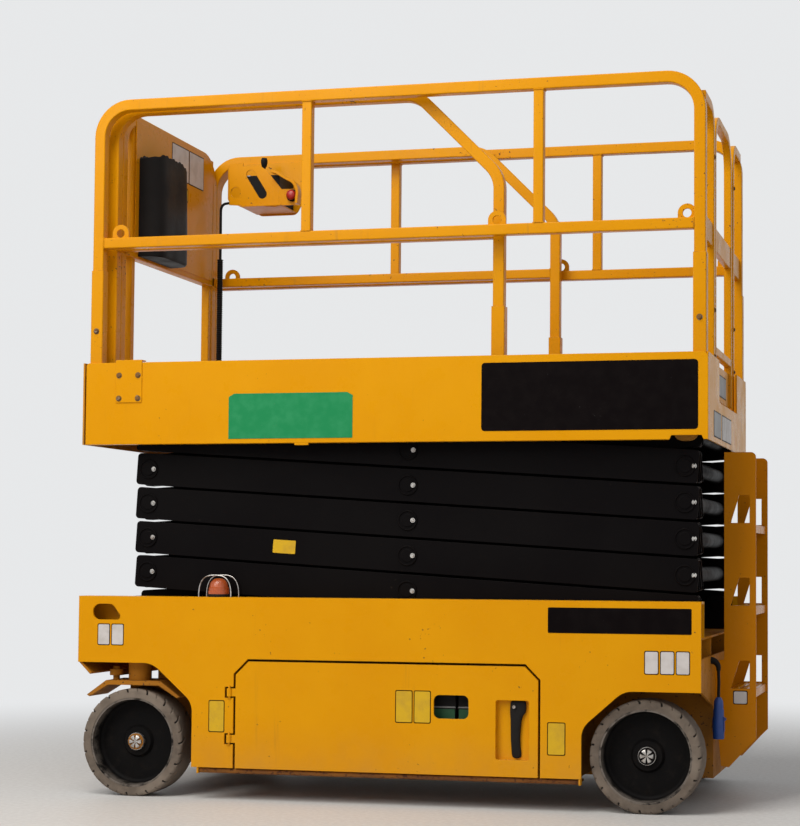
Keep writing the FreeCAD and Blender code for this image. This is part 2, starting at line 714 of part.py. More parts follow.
for level in range(1, 6):
    solids, bores = [], []
    for name, side in NEAR_AND_FAR:
        tag = "inner_%d_%s" % (level, name)
        solids.append(arm_shell("arm_" + tag, side, inner_inner, inner_outer))
        for i, x in enumerate((-half_arm, 0, half_arm)):
            solids.append(along("boss_%s_%d" % (tag, i), side, boss, x, 0, pin_end, boss_split - seat / 2))
            bores.append(along("bore_%s_%d" % (tag, i), side, pin_bore, x, 0, pin_end - 0.5, arm_split))
    cross_y = pin_end - 0.5
    for i, x in enumerate((-half_arm, half_arm)):
        solids.append(rod("cross_tube_%d_%d" % (level, i), "Y", 28, (x, -cross_y, 0), cross_y * 2))
    if level in (1, 3):
        member_x, member_z, ear_x, ear_z = reach, base_drop - 60, reach, base_drop
    elif level in (2, 4):
        member_x, member_z, ear_x, ear_z = 28 - reach, rod_drop + 58, -reach, rod_drop
    if level < 5:
        member = rod("member_%d" % level, "Y", member_radius, (member_x, -inner_inner - 2, member_z), inner_inner * 2 + 4)
        solids.append(member)
        for name, side in NEAR_AND_FAR:
            tag = "%d_%s" % (level, name)
            ear_y = across(side, *ear_span)
            if level in (1, 3):
                ear = plate("ear_" + tag, "XZ", [
                    (ear_x - 24, member_z), (ear_x + 24, member_z), (ear_x + 24, ear_z + 24, 20),
                    (ear_x - 24, ear_z + 24, 20)], *ear_y)
                solids += [ear]
            else:
                ear = plate("ear_" + tag, "XZ", [
                    (ear_x + 9, ear_z - 22), (ear_x + 44, ear_z - 10), (ear_x + 50, member_z),
                    (ear_x + 14, member_z), (ear_x + 9, ear_z + 22)], *ear_y)
                seat_cut = along("ear_seat_" + tag, side, ear_pin + seat, ear_x, ear_z, ear_span[0] - 1, ear_span[1] + 1)
                solids.append(cut("ear_cut_" + tag, ear, [seat_cut]))
        if level in (1, 3):
            solids.append(rod("ear_pin_%d" % level, "Y", ear_pin, (ear_x, -42, ear_z), 84))
    arms = join("inner_raw_%d" % level, solids)
    keep("inner_arms_%d" % level, tilt(cut("inner_arms_%d" % level, arms, bores), level, -angle))

# Base rollers: an axle in each front bore of the lowest inner arms, with a roller outside the arm.
axles = []
for name, side in NEAR_AND_FAR:
    shaft = along("base_axle_" + name, side, pin, -half_arm, 0, pin_end, arm_outer)
    wheel = along("base_roller_" + name, side, roller, -half_arm, 0, arm_split, arm_outer)
    axles += [shaft, wheel]
keep("base_rollers", tilt(join("base_rollers", axles), 1, -angle))

# Lift cylinders: barrel on levels 1 and 3, rod eye at levels 2 and 4.
for i, level in enumerate((1, 3), start=1):
    middle_z = base_pivot + rise * (level - 0.5)
    start_x = pivot_middle + reach * cosine(angle) - base_drop * sine(angle)
    start_z = middle_z + reach * sine(angle) + base_drop * cosine(angle)
    end_x = pivot_middle - reach * cosine(angle) - rod_drop * sine(angle)
    end_z = middle_z + rise - reach * sine(angle) + rod_drop * cosine(angle)
    run_x, run_z = number(end_x - start_x), number(end_z - start_z)
    closed = math.hypot(run_x, run_z)
    pitch = math.degrees(math.atan2(-run_z, run_x))
    spin = FreeCAD.Rotation(V(0, 1, 0), pitch)

    def lay(item):
        item.Placement = FreeCAD.Placement(V(number(start_x), 0, number(start_z)), spin)
        bind(item, ".Placement.Base.x", start_x)
        bind(item, ".Placement.Base.z", start_z)
        return item

    eye = rod("barrel_eye_%d" % i, "Y", 30, (0, -25, 0), 50)
    body = rod("barrel_body_%d" % i, "X", 42, (26, 0, 0), 604)
    gland = rod("barrel_gland_%d" % i, "X", 36, (630, 0, 0), 20)
    eye_bore = rod("barrel_eye_bore_%d" % i, "Y", ear_pin + cell("pin_clearance"), (0, -30, 0), 60)
    rod_bore = rod("barrel_bore_%d" % i, "X", 22 + cell("pin_clearance"), (250, 0, 0), 410)
    barrel_raw = join("barrel_raw_%d" % i, [eye, body, gland])
    keep("cylinder_barrel_%d" % i, lay(cut("cylinder_barrel_%d" % i, barrel_raw, [eye_bore, rod_bore])))
    bar = rod("rod_bar_%d" % i, "X", 22, (262, 0, 0), closed - 262)
    tip = rod("rod_eye_%d" % i, "Y", 26, (closed, -25, 0), 50)
    stub = rod("rod_pin_%d" % i, "Y", ear_pin, (closed, -44, 0), 88)
    keep("cylinder_rod_%d" % i, lay(join("cylinder_rod_%d" % i, [bar, tip, stub])))

# Scissor seats on the chassis: rear pivot brackets and the track of the front rollers.
seats = []
for name, side in NEAR_AND_FAR:
    bracket = plate("base_bracket_" + name, "XZ", [
        (pivot_rear - 62, trough), (pivot_rear + 50, trough), (pivot_rear + 38, base_pivot + 38, 34),
        (pivot_rear - 38, base_pivot + 38, 34)], *across(side, inner_inner + 3, inner_outer + 3.5),
        holes=[(pivot_rear, base_pivot, pin_bore)])
    track_z = (trough, base_pivot - roller - seat)
    track = block("base_track_" + name, (pivot_front - 90, pivot_rear - spread + 1260),
                  across(side, arm_split, trough_half), track_z)
    seats += [bracket, track]
keep("scissor_base", join("scissor_base", seats))

# Platform: deck with its brackets and tracks, skirts all round, and a rear sill.
platform_half = cell("platform_half_width")
deck_bottom = top_pivot + cell("deck_clearance")
deck_top = deck_bottom + cell("deck_thickness")
skirt_bottom = deck_bottom - cell("skirt_drop")
skirt_top = skirt_bottom + cell("skirt_depth")
skirt_wall = cell("skirt_wall")
gap = cell("running_gap")
platform_front = front - cell("nose_overrun") + skirt_wall + gap
platform_rear = rear + cell("platform_rear_overrun")
deck_half = platform_half - skirt_wall
rail = cell("rail_radius")
rail_top = deck_top + cell("rail_height")
rail_mid = deck_top + cell("mid_rail_height")
post_x = (platform_front + 33, platform_rear - 30)
rail_y = platform_half - cell("rail_inset")
bend = cell("rail_bend")
sleeve = cell("sleeve_radius")

deck_solids = [block("deck_plate", (platform_front, platform_rear - skirt_wall), (-deck_half, deck_half), (deck_bottom, deck_top))]
for name, side in NEAR_AND_FAR:
    track_x = (pivot_front - 90, pivot_rear - spread + 1260)
    track_y = across(side, inner_inner, inner_outer + 2)
    deck_solids.append(block("deck_track_" + name, track_x, track_y, (top_pivot + roller + seat, deck_bottom)))
    bracket = plate("deck_bracket_" + name, "XZ", [
        (pivot_rear - 64, deck_bottom), (pivot_rear - 36, top_pivot - 36, 32), (pivot_rear + 36, top_pivot - 36, 32),
        (pivot_rear + 54, deck_bottom)], *across(side, arm_split, arm_split + 26))
    deck_solids += [bracket, along("deck_pin_" + name, side, pin, pivot_rear, top_pivot, pin_end, arm_split + 30)]
    beam_y = across(side, arm_outer + 20, deck_half)
    deck_solids.append(block("deck_beam_" + name, (platform_front, platform_rear - skirt_wall), beam_y,
                             (skirt_bottom + 30, deck_bottom)))
keep("platform_deck", join("platform_deck", deck_solids))

for name, side in NEAR_AND_FAR:
    wall = block("skirt_wall_" + name, (platform_front, platform_rear), across(side, deck_half, platform_half),
                 (skirt_bottom, skirt_top))
    fold = block("skirt_fold_" + name, (platform_front, platform_rear - skirt_wall), across(side, deck_half - 14, deck_half),
                 (skirt_top - 4, skirt_top))
    lip_fold = block("skirt_lip_" + name, (platform_front, platform_rear - skirt_wall), across(side, deck_half - 24, deck_half),
                     (skirt_bottom, skirt_bottom + 5))
    holes = [rod("post_hole_%s_%d" % (name, i), "Z", sleeve + 1.5, (x, side * rail_y, skirt_top - 10), 20)
             for i, x in enumerate(post_x)]
    keep("skirt_" + name, cut("skirt_" + name, join("skirt_raw_" + name, [wall, fold, lip_fold]), holes))

gate_half = cell("gate_half_width")
gate_post_y = gate_half + 40
gate_hinge_y = -(gate_half + 11)
gate_hinge_heights = (rail_top - 281, deck_top + 394)
sill_x = (platform_rear - skirt_wall, platform_rear)
sill_solids = [block("rear_threshold", sill_x, (-deck_half, deck_half), (skirt_bottom, deck_top))]
for name, side in NEAR_AND_FAR:
    sill_solids.append(block("rear_toe_" + name, sill_x, across(side, gate_post_y - 22, deck_half), (deck_top, skirt_top)))
keep("rear_sill", join("rear_sill", sill_solids))

# Main guard rails: a hoop each side with sleeves, mid rail, two upper posts and lashing eyes.
for name, side in NEAR_AND_FAR:
    y = side * rail_y
    hoop = bent_tube("rail_hoop_" + name, [
        (post_x[0], y, deck_top), (post_x[0], y, rail_top), (post_x[1], y, rail_top), (post_x[1], y, deck_top),
    ], rail, bend)
    solids = [hoop, rod("rail_mid_" + name, "X", rail - 1, (post_x[0], y, rail_mid), post_x[1] - post_x[0])]
    for i, x in enumerate(post_x):
        solids.append(rod("rail_sleeve_%s_%d" % (name, i), "Z", sleeve, (x, y, deck_top), 485))
    for i, x in enumerate((platform_front + 824, platform_front + 1665)):
        solids.append(rod("rail_post_%s_%d" % (name, i), "Z", rail - 2, (x, y, rail_mid), rail_top - rail_mid))
    for i, x in enumerate((post_x[0] + 80, pivot_middle + 330, post_x[1] - 45)):
        eye = plate("rail_eye_%s_%d" % (name, i), "XZ", [
            (x - 32, rail_mid), (x + 32, rail_mid), (x + 32, rail_mid + 58, 30), (x - 32, rail_mid + 58, 30),
        ], y - 4, y + 4, holes=[(x, rail_mid + 34, 11)])
        solids.append(eye)
    keep("rail_" + name, join("rail_" + name, solids))

# Rear frame: a short hoop on each side of the gate.
rear_solids = []
for name, side in NEAR_AND_FAR:
    hoop = bent_tube("rear_hoop_" + name, [
        (post_x[1], side * (rail_y - rail), rail_top - 60), (post_x[1], side * gate_post_y, rail_top - 60),
        (post_x[1], side * gate_post_y, deck_top),
    ], rail - 2, 90)
    mid_y = across(side, gate_post_y, rail_y - rail)
    bar = rod("rear_mid_" + name, "Y", rail - 4, (post_x[1], mid_y[0], rail_mid), mid_y[1] - mid_y[0])
    rear_solids += [hoop, bar]
for i, z in enumerate(gate_hinge_heights):
    rear_solids.append(rod("gate_pin_%d" % i, "Z", 4, (post_x[1], gate_hinge_y, z - 34), 68))
    for end, low in (("low", z - 34), ("high", z + 30)):
        rear_solids.append(block("gate_lug_%s_%d" % (end, i), (post_x[1] - 6, post_x[1] + 6),
                                 (-gate_post_y + 14, gate_hinge_y + 6), (low, low + 4)))
keep("rear_frame", join("rear_frame", rear_solids))

# Entry gate: a round-topped hoop with a mid bar and a toe board, hung on the near gate post.
gate_x = post_x[1]
gate_bottom = deck_top + 20
gate_tube = 16
gate_side = gate_half - gate_tube
gate_top = rail_top - 62
gate_hoop = bent_tube("gate_hoop", [
    (gate_x, -gate_side, gate_bottom), (gate_x, -gate_side, gate_top), (gate_x, gate_side, gate_top),
    (gate_x, gate_side, gate_bottom),
], gate_tube, 120)
gate_solids, gate_bores = [gate_hoop], []
for i, z in enumerate(gate_hinge_heights):
    gate_solids.append(rod("gate_knuckle_%d" % i, "Z", 7, (gate_x, gate_hinge_y, z - 29), 58))
    gate_solids.append(block("gate_strap_%d" % i, (gate_x - 3, gate_x + 3), (gate_hinge_y, -gate_side), (z - 29, z + 29)))
    gate_bores.append(rod("gate_bore_%d" % i, "Z", 4 + cell("pin_clearance"), (gate_x, gate_hinge_y, z - 31), 62))
for i, z in enumerate((rail_mid, skirt_top + 40)):
    gate_solids.append(rod("gate_bar_%d" % i, "Y", gate_tube - 1, (gate_x, -gate_side, z), gate_side * 2))
gate_solids.append(block("gate_toe", (gate_x - 3, gate_x + 3), (-gate_side, gate_side), (gate_bottom, skirt_top)))
keep("entry_gate", cut("entry_gate", join("gate_raw", gate_solids), gate_bores))

# Roll-out deck with its own rails, nose plate, front frame and panel.
slide_bottom = deck_top + cell("extension_lift")
slide_top = slide_bottom + cell("extension_deck_thickness")
nose_x = (front - cell("nose_overrun"), front - cell("nose_overrun") + skirt_wall)
slide_rear = nose_x[0] + cell("extension_length")
inner_y = platform_half - cell("inner_rail_inset")
inner_post_x = (post_x[0] + 22, slide_rear - 24)
slide_half = inner_y + 26
slide_solids = [
    block("slide_plate", (nose_x[0], slide_rear), (-slide_half, slide_half), (slide_bottom, slide_top)),
    block("slide_nose", nose_x, (-platform_half, platform_half), (skirt_bottom, skirt_top)),
]
for name, side in NEAR_AND_FAR:
    runner_y = across(side, slide_half - 40, slide_half)
    slide_solids.append(block("slide_runner_" + name, (platform_front + 10, slide_rear), runner_y,
                              (deck_top + seat, slide_bottom)))
    toe_y = across(side, slide_half - 4, slide_half)
    slide_solids.append(block("slide_toe_" + name, (nose_x[1], slide_rear), toe_y, (slide_top, skirt_top - 20)))
tread_x = (inner_post_x[0] + 90, slide_rear - 60)
tread_half = slide_half - 62
slide_solids.append(block("slide_tread", tread_x, (-tread_half, tread_half), (slide_top, slide_top + 2)))
keep("extension_deck", join("extension_deck", slide_solids))

for name, side in NEAR_AND_FAR:
    y = side * (inner_y - 3)
    hoop = bent_tube("inner_hoop_" + name, [
        (inner_post_x[0], y, slide_top), (inner_post_x[0], y, rail_top), (inner_post_x[1] - 300, y, rail_top),
        (inner_post_x[1], y, rail_top - 300), (inner_post_x[1], y, slide_top),
    ], rail, bend)
    bar = rod("inner_mid_" + name, "X", rail - 2, (inner_post_x[0], y, rail_mid), inner_post_x[1] - inner_post_x[0])
    cup = rod("inner_sleeve_" + name, "Z", sleeve + 1, (inner_post_x[1], y, slide_top), 310)
    keep("extension_rail_" + name, join("extension_rail_" + name, [hoop, bar, cup]))

frame_y = inner_y - 3 - rail * 2 - 1
front_hoop = bent_tube("front_hoop", [
    (inner_post_x[0], -frame_y, slide_top), (inner_post_x[0], -frame_y, rail_top - 4),
    (inner_post_x[0], frame_y, rail_top - 4), (inner_post_x[0], frame_y, slide_top),
], rail, bend)
front_solids = [front_hoop]
for i, z in enumerate((rail_mid, slide_top + 300)):
    front_solids.append(rod("front_bar_%d" % i, "Y", rail - 2, (inner_post_x[0], -frame_y, z), frame_y * 2))
panel_y = (-half_width + 240, half_width - 180)
for i, y in enumerate(panel_y):
    front_solids.append(rod("front_post_%d" % i, "Z", rail - 4, (inner_post_x[0], y, slide_top), rail_top - slide_top - 4))
for name, side in NEAR_AND_FAR:
    for i, z in enumerate((rail_mid + 60, slide_top + 340)):
        low, high = across(side, frame_y + rail - 3, inner_y - 3 - rail + 0.0)
        front_solids.append(rod("front_link_%s_%d" % (name, i), "Y", 8, (inner_post_x[0], low, z), high - low))
keep("front_frame", join("front_frame", front_solids))

panel_x = (inner_post_x[0] + rail - 2, inner_post_x[0] + rail + 2)
keep("front_panel", block("front_panel", panel_x, panel_y, (rail_mid, rail_top - 6)))
box_x = (panel_x[1], panel_x[1] + 90)
box_y = (panel_y[0] + 28, panel_y[0] + 330)
box_z = (rail_mid - 10, rail_mid + 385)
document_box = block("document_box", box_x, box_y, box_z)
keep("document_box", document_box)

# Control station on the far inner rail, with its conduit down to the deck.
station_y = inner_y - 3 - rail
station_x = (inner_post_x[0] + 70, inner_post_x[0] + 430)
hook_z = (rail_top - 232, rail_top - 14)
hook = plate("station_plate", "XZ", [
    (station_x[0], hook_z[1]), (station_x[0], hook_z[1] - 150, 20), (station_x[0] + 150, hook_z[0], 30),
    (station_x[1] - 60, hook_z[0], 30), (station_x[1], hook_z[1] - 110, 30), (station_x[1], hook_z[1], 20),
], station_y - 6, station_y, holes=[(station_x[0] + 90, hook_z[1] - 70, 24)])
shelf_z = (hook_z[0] + 6, hook_z[0] + 12)
shelf = block("station_shelf", (station_x[0] + 130, station_x[1] - 60), (station_y - 190, station_y - 6), shelf_z)
keep("station_bracket", join("station_bracket", [hook, shelf]))
case = block("station_case", (station_x[0] + 140, station_x[1] - 70), (station_y - 180, station_y - 14),
             (shelf_z[1], shelf_z[1] + 120))
stick = rod("station_stick", "Z", 14, (station_x[0] + 190, station_y - 90, shelf_z[1] + 120), 92)
stop = rod("station_stop", "Z", 20, (station_x[1] - 110, station_y - 90, shelf_z[1] + 120), 26)
keep("control_station", join("control_station", [case, stick, stop]))
hose_x = inner_post_x[0] + 62
hose_y = station_y - 60
hose_z = shelf_z[1] + 40
hose = bent_tube("conduit_run", [
    (station_x[0] + 140, hose_y, hose_z), (hose_x, hose_y, hose_z), (hose_x, hose_y, slide_top),
], 10, 50)
keep("station_conduit", hose)

# Every object has to be sound before anything is written.
document.recompute()
for item in document.Objects:
    for word in ("Invalid", "Error"):
        if word in item.State:
            raise RuntimeError("%s is %s" % (item.Label, item.State))
os.makedirs("parts", exist_ok=True)
for item in PIECES:
    shape = item.Shape
    if shape.isNull() or not shape.isValid() or not shape.Solids:
        raise RuntimeError("%s has no valid solid" % item.Label)
    shape.exportStep("parts/%s.step" % item.Label)
print(len(PIECES), "sub-parts")
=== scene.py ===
"""Looks of the slab scissor lift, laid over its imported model.

Metres throughout: the floor is z = 0, the ladder is towards +X and the near side is -Y.
"""

import json
import math

import bmesh
import bpy
import numpy as np
from mathutils import Matrix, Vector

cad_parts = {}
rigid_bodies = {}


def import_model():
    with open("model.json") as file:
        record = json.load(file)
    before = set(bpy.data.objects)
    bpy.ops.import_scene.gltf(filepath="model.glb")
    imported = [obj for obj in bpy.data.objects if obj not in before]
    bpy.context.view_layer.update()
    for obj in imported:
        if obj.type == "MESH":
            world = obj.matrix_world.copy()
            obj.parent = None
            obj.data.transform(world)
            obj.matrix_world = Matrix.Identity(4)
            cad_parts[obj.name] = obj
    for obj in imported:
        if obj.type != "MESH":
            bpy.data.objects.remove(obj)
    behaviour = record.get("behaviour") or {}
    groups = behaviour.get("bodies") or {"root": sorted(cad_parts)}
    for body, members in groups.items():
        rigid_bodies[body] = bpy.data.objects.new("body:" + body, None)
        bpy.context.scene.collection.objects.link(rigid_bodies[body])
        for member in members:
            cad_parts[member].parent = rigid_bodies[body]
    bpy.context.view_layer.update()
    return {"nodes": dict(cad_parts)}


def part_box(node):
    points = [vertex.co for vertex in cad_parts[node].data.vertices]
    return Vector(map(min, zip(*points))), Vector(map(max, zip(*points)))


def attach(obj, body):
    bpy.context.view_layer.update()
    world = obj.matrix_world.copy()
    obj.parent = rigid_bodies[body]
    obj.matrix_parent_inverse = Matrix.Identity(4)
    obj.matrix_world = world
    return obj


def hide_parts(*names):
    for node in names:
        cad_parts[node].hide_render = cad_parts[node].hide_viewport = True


for leftover in list(bpy.data.objects):
    bpy.data.objects.remove(leftover)
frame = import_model()
nodes = frame["nodes"]


# Painted steel: the chassis sides, doors, platform and rails are folded and welded plate
# under one coat of glossy yellow. Dust settles low down, rain and oil run down from edges,
# and small chips show the dark primer.
SIDES = (("near", -1), ("far", 1))


def feed(tree, node, wired):
    """Gives each named socket of a node a link if a socket is given, or else a value."""
    for name, value in wired.items():
        if isinstance(value, bpy.types.NodeSocket):
            tree.links.new(value, node.inputs[name])
        else:
            node.inputs[name].default_value = value


def put(tree, kind, wired=None, **settings):
    """Adds one shader node with its settings, and feeds its sockets."""
    made = tree.nodes.new("ShaderNode" + kind)
    for name, value in settings.items():
        setattr(made, name, value)
    feed(tree, made, wired or {})
    return made


def noise(tree, place, scale, detail, roughness=0.5):
    """Cloudy noise from 0 to 1 over a place."""
    wired = {"Vector": place, "Scale": scale, "Detail": detail, "Roughness": roughness}
    return put(tree, "TexNoise", wired).outputs[0]


def sums(tree, operation, *values):
    """One Math node over sockets or numbers."""
    return put(tree, "Math", dict(enumerate(values)), operation=operation).outputs[0]


def ramp(tree, value, low, high, to_low=0.0, to_high=1.0):
    """A value taken smoothly from one span to another."""
    span = {"Value": value, "From Min": low, "From Max": high, "To Min": to_low, "To Max": to_high}
    return put(tree, "MapRange", span, interpolation_type="SMOOTHSTEP").outputs["Result"]


def blend_colour(tree, share, under, over):
    """Colour 'over' laid on colour 'under' by a share."""
    made = put(tree, "Mix", {0: share, 6: under, 7: over}, data_type="RGBA")
    return made.outputs[2]


def effect(name, wants, gives):
    """An empty node group with named inputs and outputs, and its two end nodes."""
    group = bpy.data.node_groups.new(name, "ShaderNodeTree")
    for title, kind, value in wants:
        socket = group.interface.new_socket(title, in_out="INPUT", socket_type="NodeSocket" + kind)
        if kind == "Float":
            socket.default_value = value
    for title, kind in gives:
        group.interface.new_socket(title, in_out="OUTPUT", socket_type="NodeSocket" + kind)
    ends = group.nodes.new("NodeGroupInput"), group.nodes.new("NodeGroupOutput")
    return group, ends[0].outputs, ends[1].inputs


settled_dust, wants, gives = effect("settled_dust", [
    ("Place", "Vector", None), ("Low", "Float", 0.1), ("High", "Float", 0.6), ("Patches", "Float", 7.0),
], [("Mask", "Float")])
height = put(settled_dust, "SeparateXYZ", {0: wants["Place"]}).outputs["Z"]
near_floor = ramp(settled_dust, height, wants["High"], wants["Low"])
patches = noise(settled_dust, wants["Place"], wants["Patches"], 7.0, 0.62)
share = sums(settled_dust, "MULTIPLY", near_floor, ramp(settled_dust, patches, 0.3, 0.72, 0.25, 1.0))
settled_dust.links.new(share, gives["Mask"])

run_marks, wants, gives = effect("run_marks", [
    ("Place", "Vector", None), ("Width", "Float", 26.0), ("Level", "Float", 0.6),
], [("Mask", "Float")])
stretch = put(run_marks, "VectorMath", {0: wants["Place"], 1: (1.0, 1.0, 0.07)},
              operation="MULTIPLY").outputs[0]
lines = noise(run_marks, stretch, wants["Width"], 5.0, 0.6)
fade = noise(run_marks, wants["Place"], 3.1, 3.0)
mark = sums(run_marks, "MULTIPLY",
            ramp(run_marks, lines, wants["Level"], sums(run_marks, "ADD", wants["Level"], 0.16)),
            ramp(run_marks, fade, 0.42, 0.64))
run_marks.links.new(mark, gives["Mask"])

chips, wants, gives = effect("chips", [
    ("Place", "Vector", None), ("Size", "Float", 90.0), ("Level", "Float", 0.7),
], [("Mask", "Float")])
specks = noise(chips, wants["Place"], wants["Size"], 4.0, 0.55)
where = noise(chips, wants["Place"], 5.3, 4.0)
level = sums(chips, "SUBTRACT", wants["Level"], ramp(chips, where, 0.5, 0.75, 0.0, 0.09))
spot = ramp(chips, specks, level, sums(chips, "ADD", level, 0.03))
chips.links.new(spot, gives["Mask"])

edge_rub, wants, gives = effect("edge_rub", [
    ("Place", "Vector", None), ("Reach", "Float", 0.004), ("Share", "Float", 1.0),
], [("Mask", "Float")])
soft_face = put(edge_rub, "Bevel", {"Radius": wants["Reach"]}, samples=4).outputs[0]
true_face = put(edge_rub, "NewGeometry").outputs["True Normal"]
flatness = put(edge_rub, "VectorMath", {0: soft_face, 1: true_face},
               operation="DOT_PRODUCT").outputs["Value"]
broken = noise(edge_rub, wants["Place"], 38.0, 6.0, 0.7)
rubbed = sums(edge_rub, "MULTIPLY", ramp(edge_rub, flatness, 0.985, 0.86),
              ramp(edge_rub, broken, 0.44, 0.66))
edge_rub.links.new(sums(edge_rub, "MULTIPLY", rubbed, wants["Share"]), gives["Mask"])

fine_relief, wants, gives = effect("fine_relief", [
    ("Place", "Vector", None), ("Coarse", "Float", 60.0), ("Fine", "Float", 420.0),
], [("Height", "Float")])
waves = noise(fine_relief, wants["Place"], wants["Coarse"], 2.0)
grit = noise(fine_relief, wants["Place"], wants["Fine"], 2.0)
fine_relief.links.new(sums(fine_relief, "MULTIPLY_ADD", grit, 0.35, waves), gives["Height"])


def use(tree, group, place, **values):
    """Places an effect in a material with its own values and gives its output."""
    made = tree.nodes.new("ShaderNodeGroup")
    made.node_tree = group
    tree.links.new(place, made.inputs["Place"])
    for name, value in values.items():
        made.inputs[name].default_value = value
    return made.outputs[0]


def first_of(tree, kind):
    """The first node of a kind in a tree."""
    return next(item for item in tree.nodes if item.type == kind)


def bare_material(name):
    """A new material: its tree, its Principled BSDF and the Object coordinates."""
    material = bpy.data.materials.new(name)
    material.use_nodes = True
    tree = material.node_tree
    return material, tree, first_of(tree, "BSDF_PRINCIPLED"), put(tree, "TexCoord").outputs["Object"]


def relief(tree, shader, amount, depth):
    """Feeds a height to the shader's normal as a bump of so many metres."""
    bump = put(tree, "Bump", {"Height": amount, "Distance": depth, "Strength": 1.0})
    tree.links.new(bump.outputs[0], shader.inputs["Normal"])
    return bump


def dress(tree, shader, place, colour, rough, grain, metal=0.0, shine=0.5):
    """Feeds a shader, with a grain of (coarse scale, fine scale, depth) as its relief."""
    feed(tree, shader, {"Base Color": colour, "Roughness": rough, "Metallic": metal,
                        "Specular IOR Level": shine})
    relief(tree, shader, use(tree, fine_relief, place, Coarse=grain[0], Fine=grain[1]), grain[2])


def coated(name, colour, faded, dust, dust_span, chip, chip_level=0.74, rub=0.5, gloss=(0.24, 0.40),
           shine=0.09, streak=0.2, peel=0.00008, round_off=0.0025):
    """A coat of paint: faded in patches, dusty towards the floor, streaked, chipped, and rubbed at its
    edges, which catch the light as if they had a small radius."""
    material, tree, shader, place = bare_material(name)
    cloud = noise(tree, place, 2.3, 5.0, 0.6)
    paint = blend_colour(tree, ramp(tree, cloud, 0.35, 0.7), (*colour, 1), (*faded, 1))
    runs = sums(tree, "MULTIPLY", use(tree, run_marks, place), streak)
    paint = blend_colour(tree, runs, paint, (*[0.45 * part for part in dust], 1))
    dirt = use(tree, settled_dust, place, Low=dust_span[0], High=dust_span[1])
    paint = blend_colour(tree, sums(tree, "MULTIPLY", dirt, dust_span[2]), paint, (*dust, 1))
    bare = sums(tree, "MAXIMUM", use(tree, chips, place, Level=chip_level),
                use(tree, edge_rub, place, Share=rub))
    dull = sums(tree, "MAXIMUM", sums(tree, "MAXIMUM", dirt, bare), runs)
    smear = noise(tree, place, 9.0, 6.0, 0.65)
    rough = sums(tree, "MAXIMUM", ramp(tree, smear, 0.3, 0.75, gloss[0], gloss[1]),
                 sums(tree, "MULTIPLY", dull, 0.7))
    feed(tree, shader, {"Base Color": blend_colour(tree, bare, paint, (*chip, 1)), "Roughness": rough,
                        "Specular IOR Level": shine})
    skin_height = sums(tree, "SUBTRACT", use(tree, fine_relief, place), sums(tree, "MULTIPLY", bare, 2.0))
    bump = relief(tree, shader, skin_height, peel)
    feed(tree, bump, {"Normal": put(tree, "Bevel", {"Radius": round_off}, samples=4).outputs[0]})
    return material


yellow = coated("yellow_paint", (0.70, 0.290, 0.0008), (0.73, 0.316, 0.0012), (0.34, 0.19, 0.08),
                (0.06, 0.30, 0.28), (0.10, 0.045, 0.02))
# The ladder's coat is the yellow made darker and redder: painted shade, for the ladder that stands in the
# platform's shadow.
shaded_yellow = coated("ladder_painted_shade", (0.60, 0.205, 0.0008), (0.64, 0.225, 0.001), (0.30, 0.15, 0.06),
                       (0.06, 0.34, 0.3), (0.10, 0.045, 0.02), chip_level=0.7)
rail_yellow = coated("rail_paint", (0.67, 0.268, 0.001), (0.70, 0.292, 0.0015), (0.36, 0.20, 0.09),
                     (1.3, 1.75, 0.1), (0.10, 0.045, 0.025), chip_level=0.70, streak=0.4, rub=0.7)
dirty_yellow = coated("undercarriage_paint", (0.46, 0.17, 0.006), (0.36, 0.14, 0.015), (0.14, 0.08, 0.04),
                      (0.1, 0.6, 0.7), (0.06, 0.03, 0.02), chip_level=0.64, gloss=(0.5, 0.8), streak=0.6)
rusty = coated("rusty_flap", (0.33, 0.13, 0.02), (0.20, 0.075, 0.022), (0.12, 0.055, 0.028),
               (0.08, 0.2, 0.8), (0.09, 0.035, 0.018), chip_level=0.58, rub=1.0, gloss=(0.6, 0.85),
               streak=0.8)
arm_black = coated("arm_paint", (0.0036, 0.0028, 0.0031), (0.0048, 0.004, 0.0041), (0.035, 0.027, 0.022),
                   (0.5, 0.8, 0.1), (0.022, 0.017, 0.014), chip_level=0.76, rub=0.35, gloss=(0.4, 0.6),
                   shine=0.035, streak=0.06)
plastic = coated("black_plastic", (0.0075, 0.0068, 0.0068), (0.012, 0.011, 0.0105), (0.05, 0.043, 0.036),
                 (0.1, 0.5, 0.2), (0.022, 0.02, 0.018), rub=0.25, gloss=(0.42, 0.62), shine=0.08,
                 peel=0.0002)


def paint_nodes(finish, *names):
    """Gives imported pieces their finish."""
    for name in names:
        nodes[name].material_slots[0].material = finish


paint_nodes(yellow, "side_near", "side_far", "door_near", "door_far", "rear_sill")
# The ladder gets the darker copy of the yellow, with its shade painted in.
paint_nodes(shaded_yellow, "ladder")
paint_nodes(rail_yellow, "front_panel", "station_bracket")
paint_nodes(dirty_yellow, "chassis_frame", "knuckle_near", "knuckle_far", "tie_rod")
paint_nodes(rusty, "pothole_guard_near", "pothole_guard_far")
for level in range(1, 6):
    paint_nodes(arm_black, "outer_arms_%d" % level, "inner_arms_%d" % level)
paint_nodes(arm_black, "scissor_base", "drive_hubs", "cylinder_barrel_1", "cylinder_barrel_2",
            "hydraulic_unit")
paint_nodes(plastic, "battery_pack")


def net(rows, columns, ring_rows=False, ring_columns=False):
    """Four-cornered faces over a grid of points; a ring joins its last line to its first."""
    down = np.arange(rows if ring_rows else rows - 1)
    along = np.arange(columns if ring_columns else columns - 1)
    a, b = (part.ravel() for part in np.meshgrid(down, along, indexing="ij"))
    c, d = (a + 1) % rows, (b + 1) % columns
    return np.stack([a * columns + b, c * columns + b, c * columns + d, a * columns + d], 1).tolist()


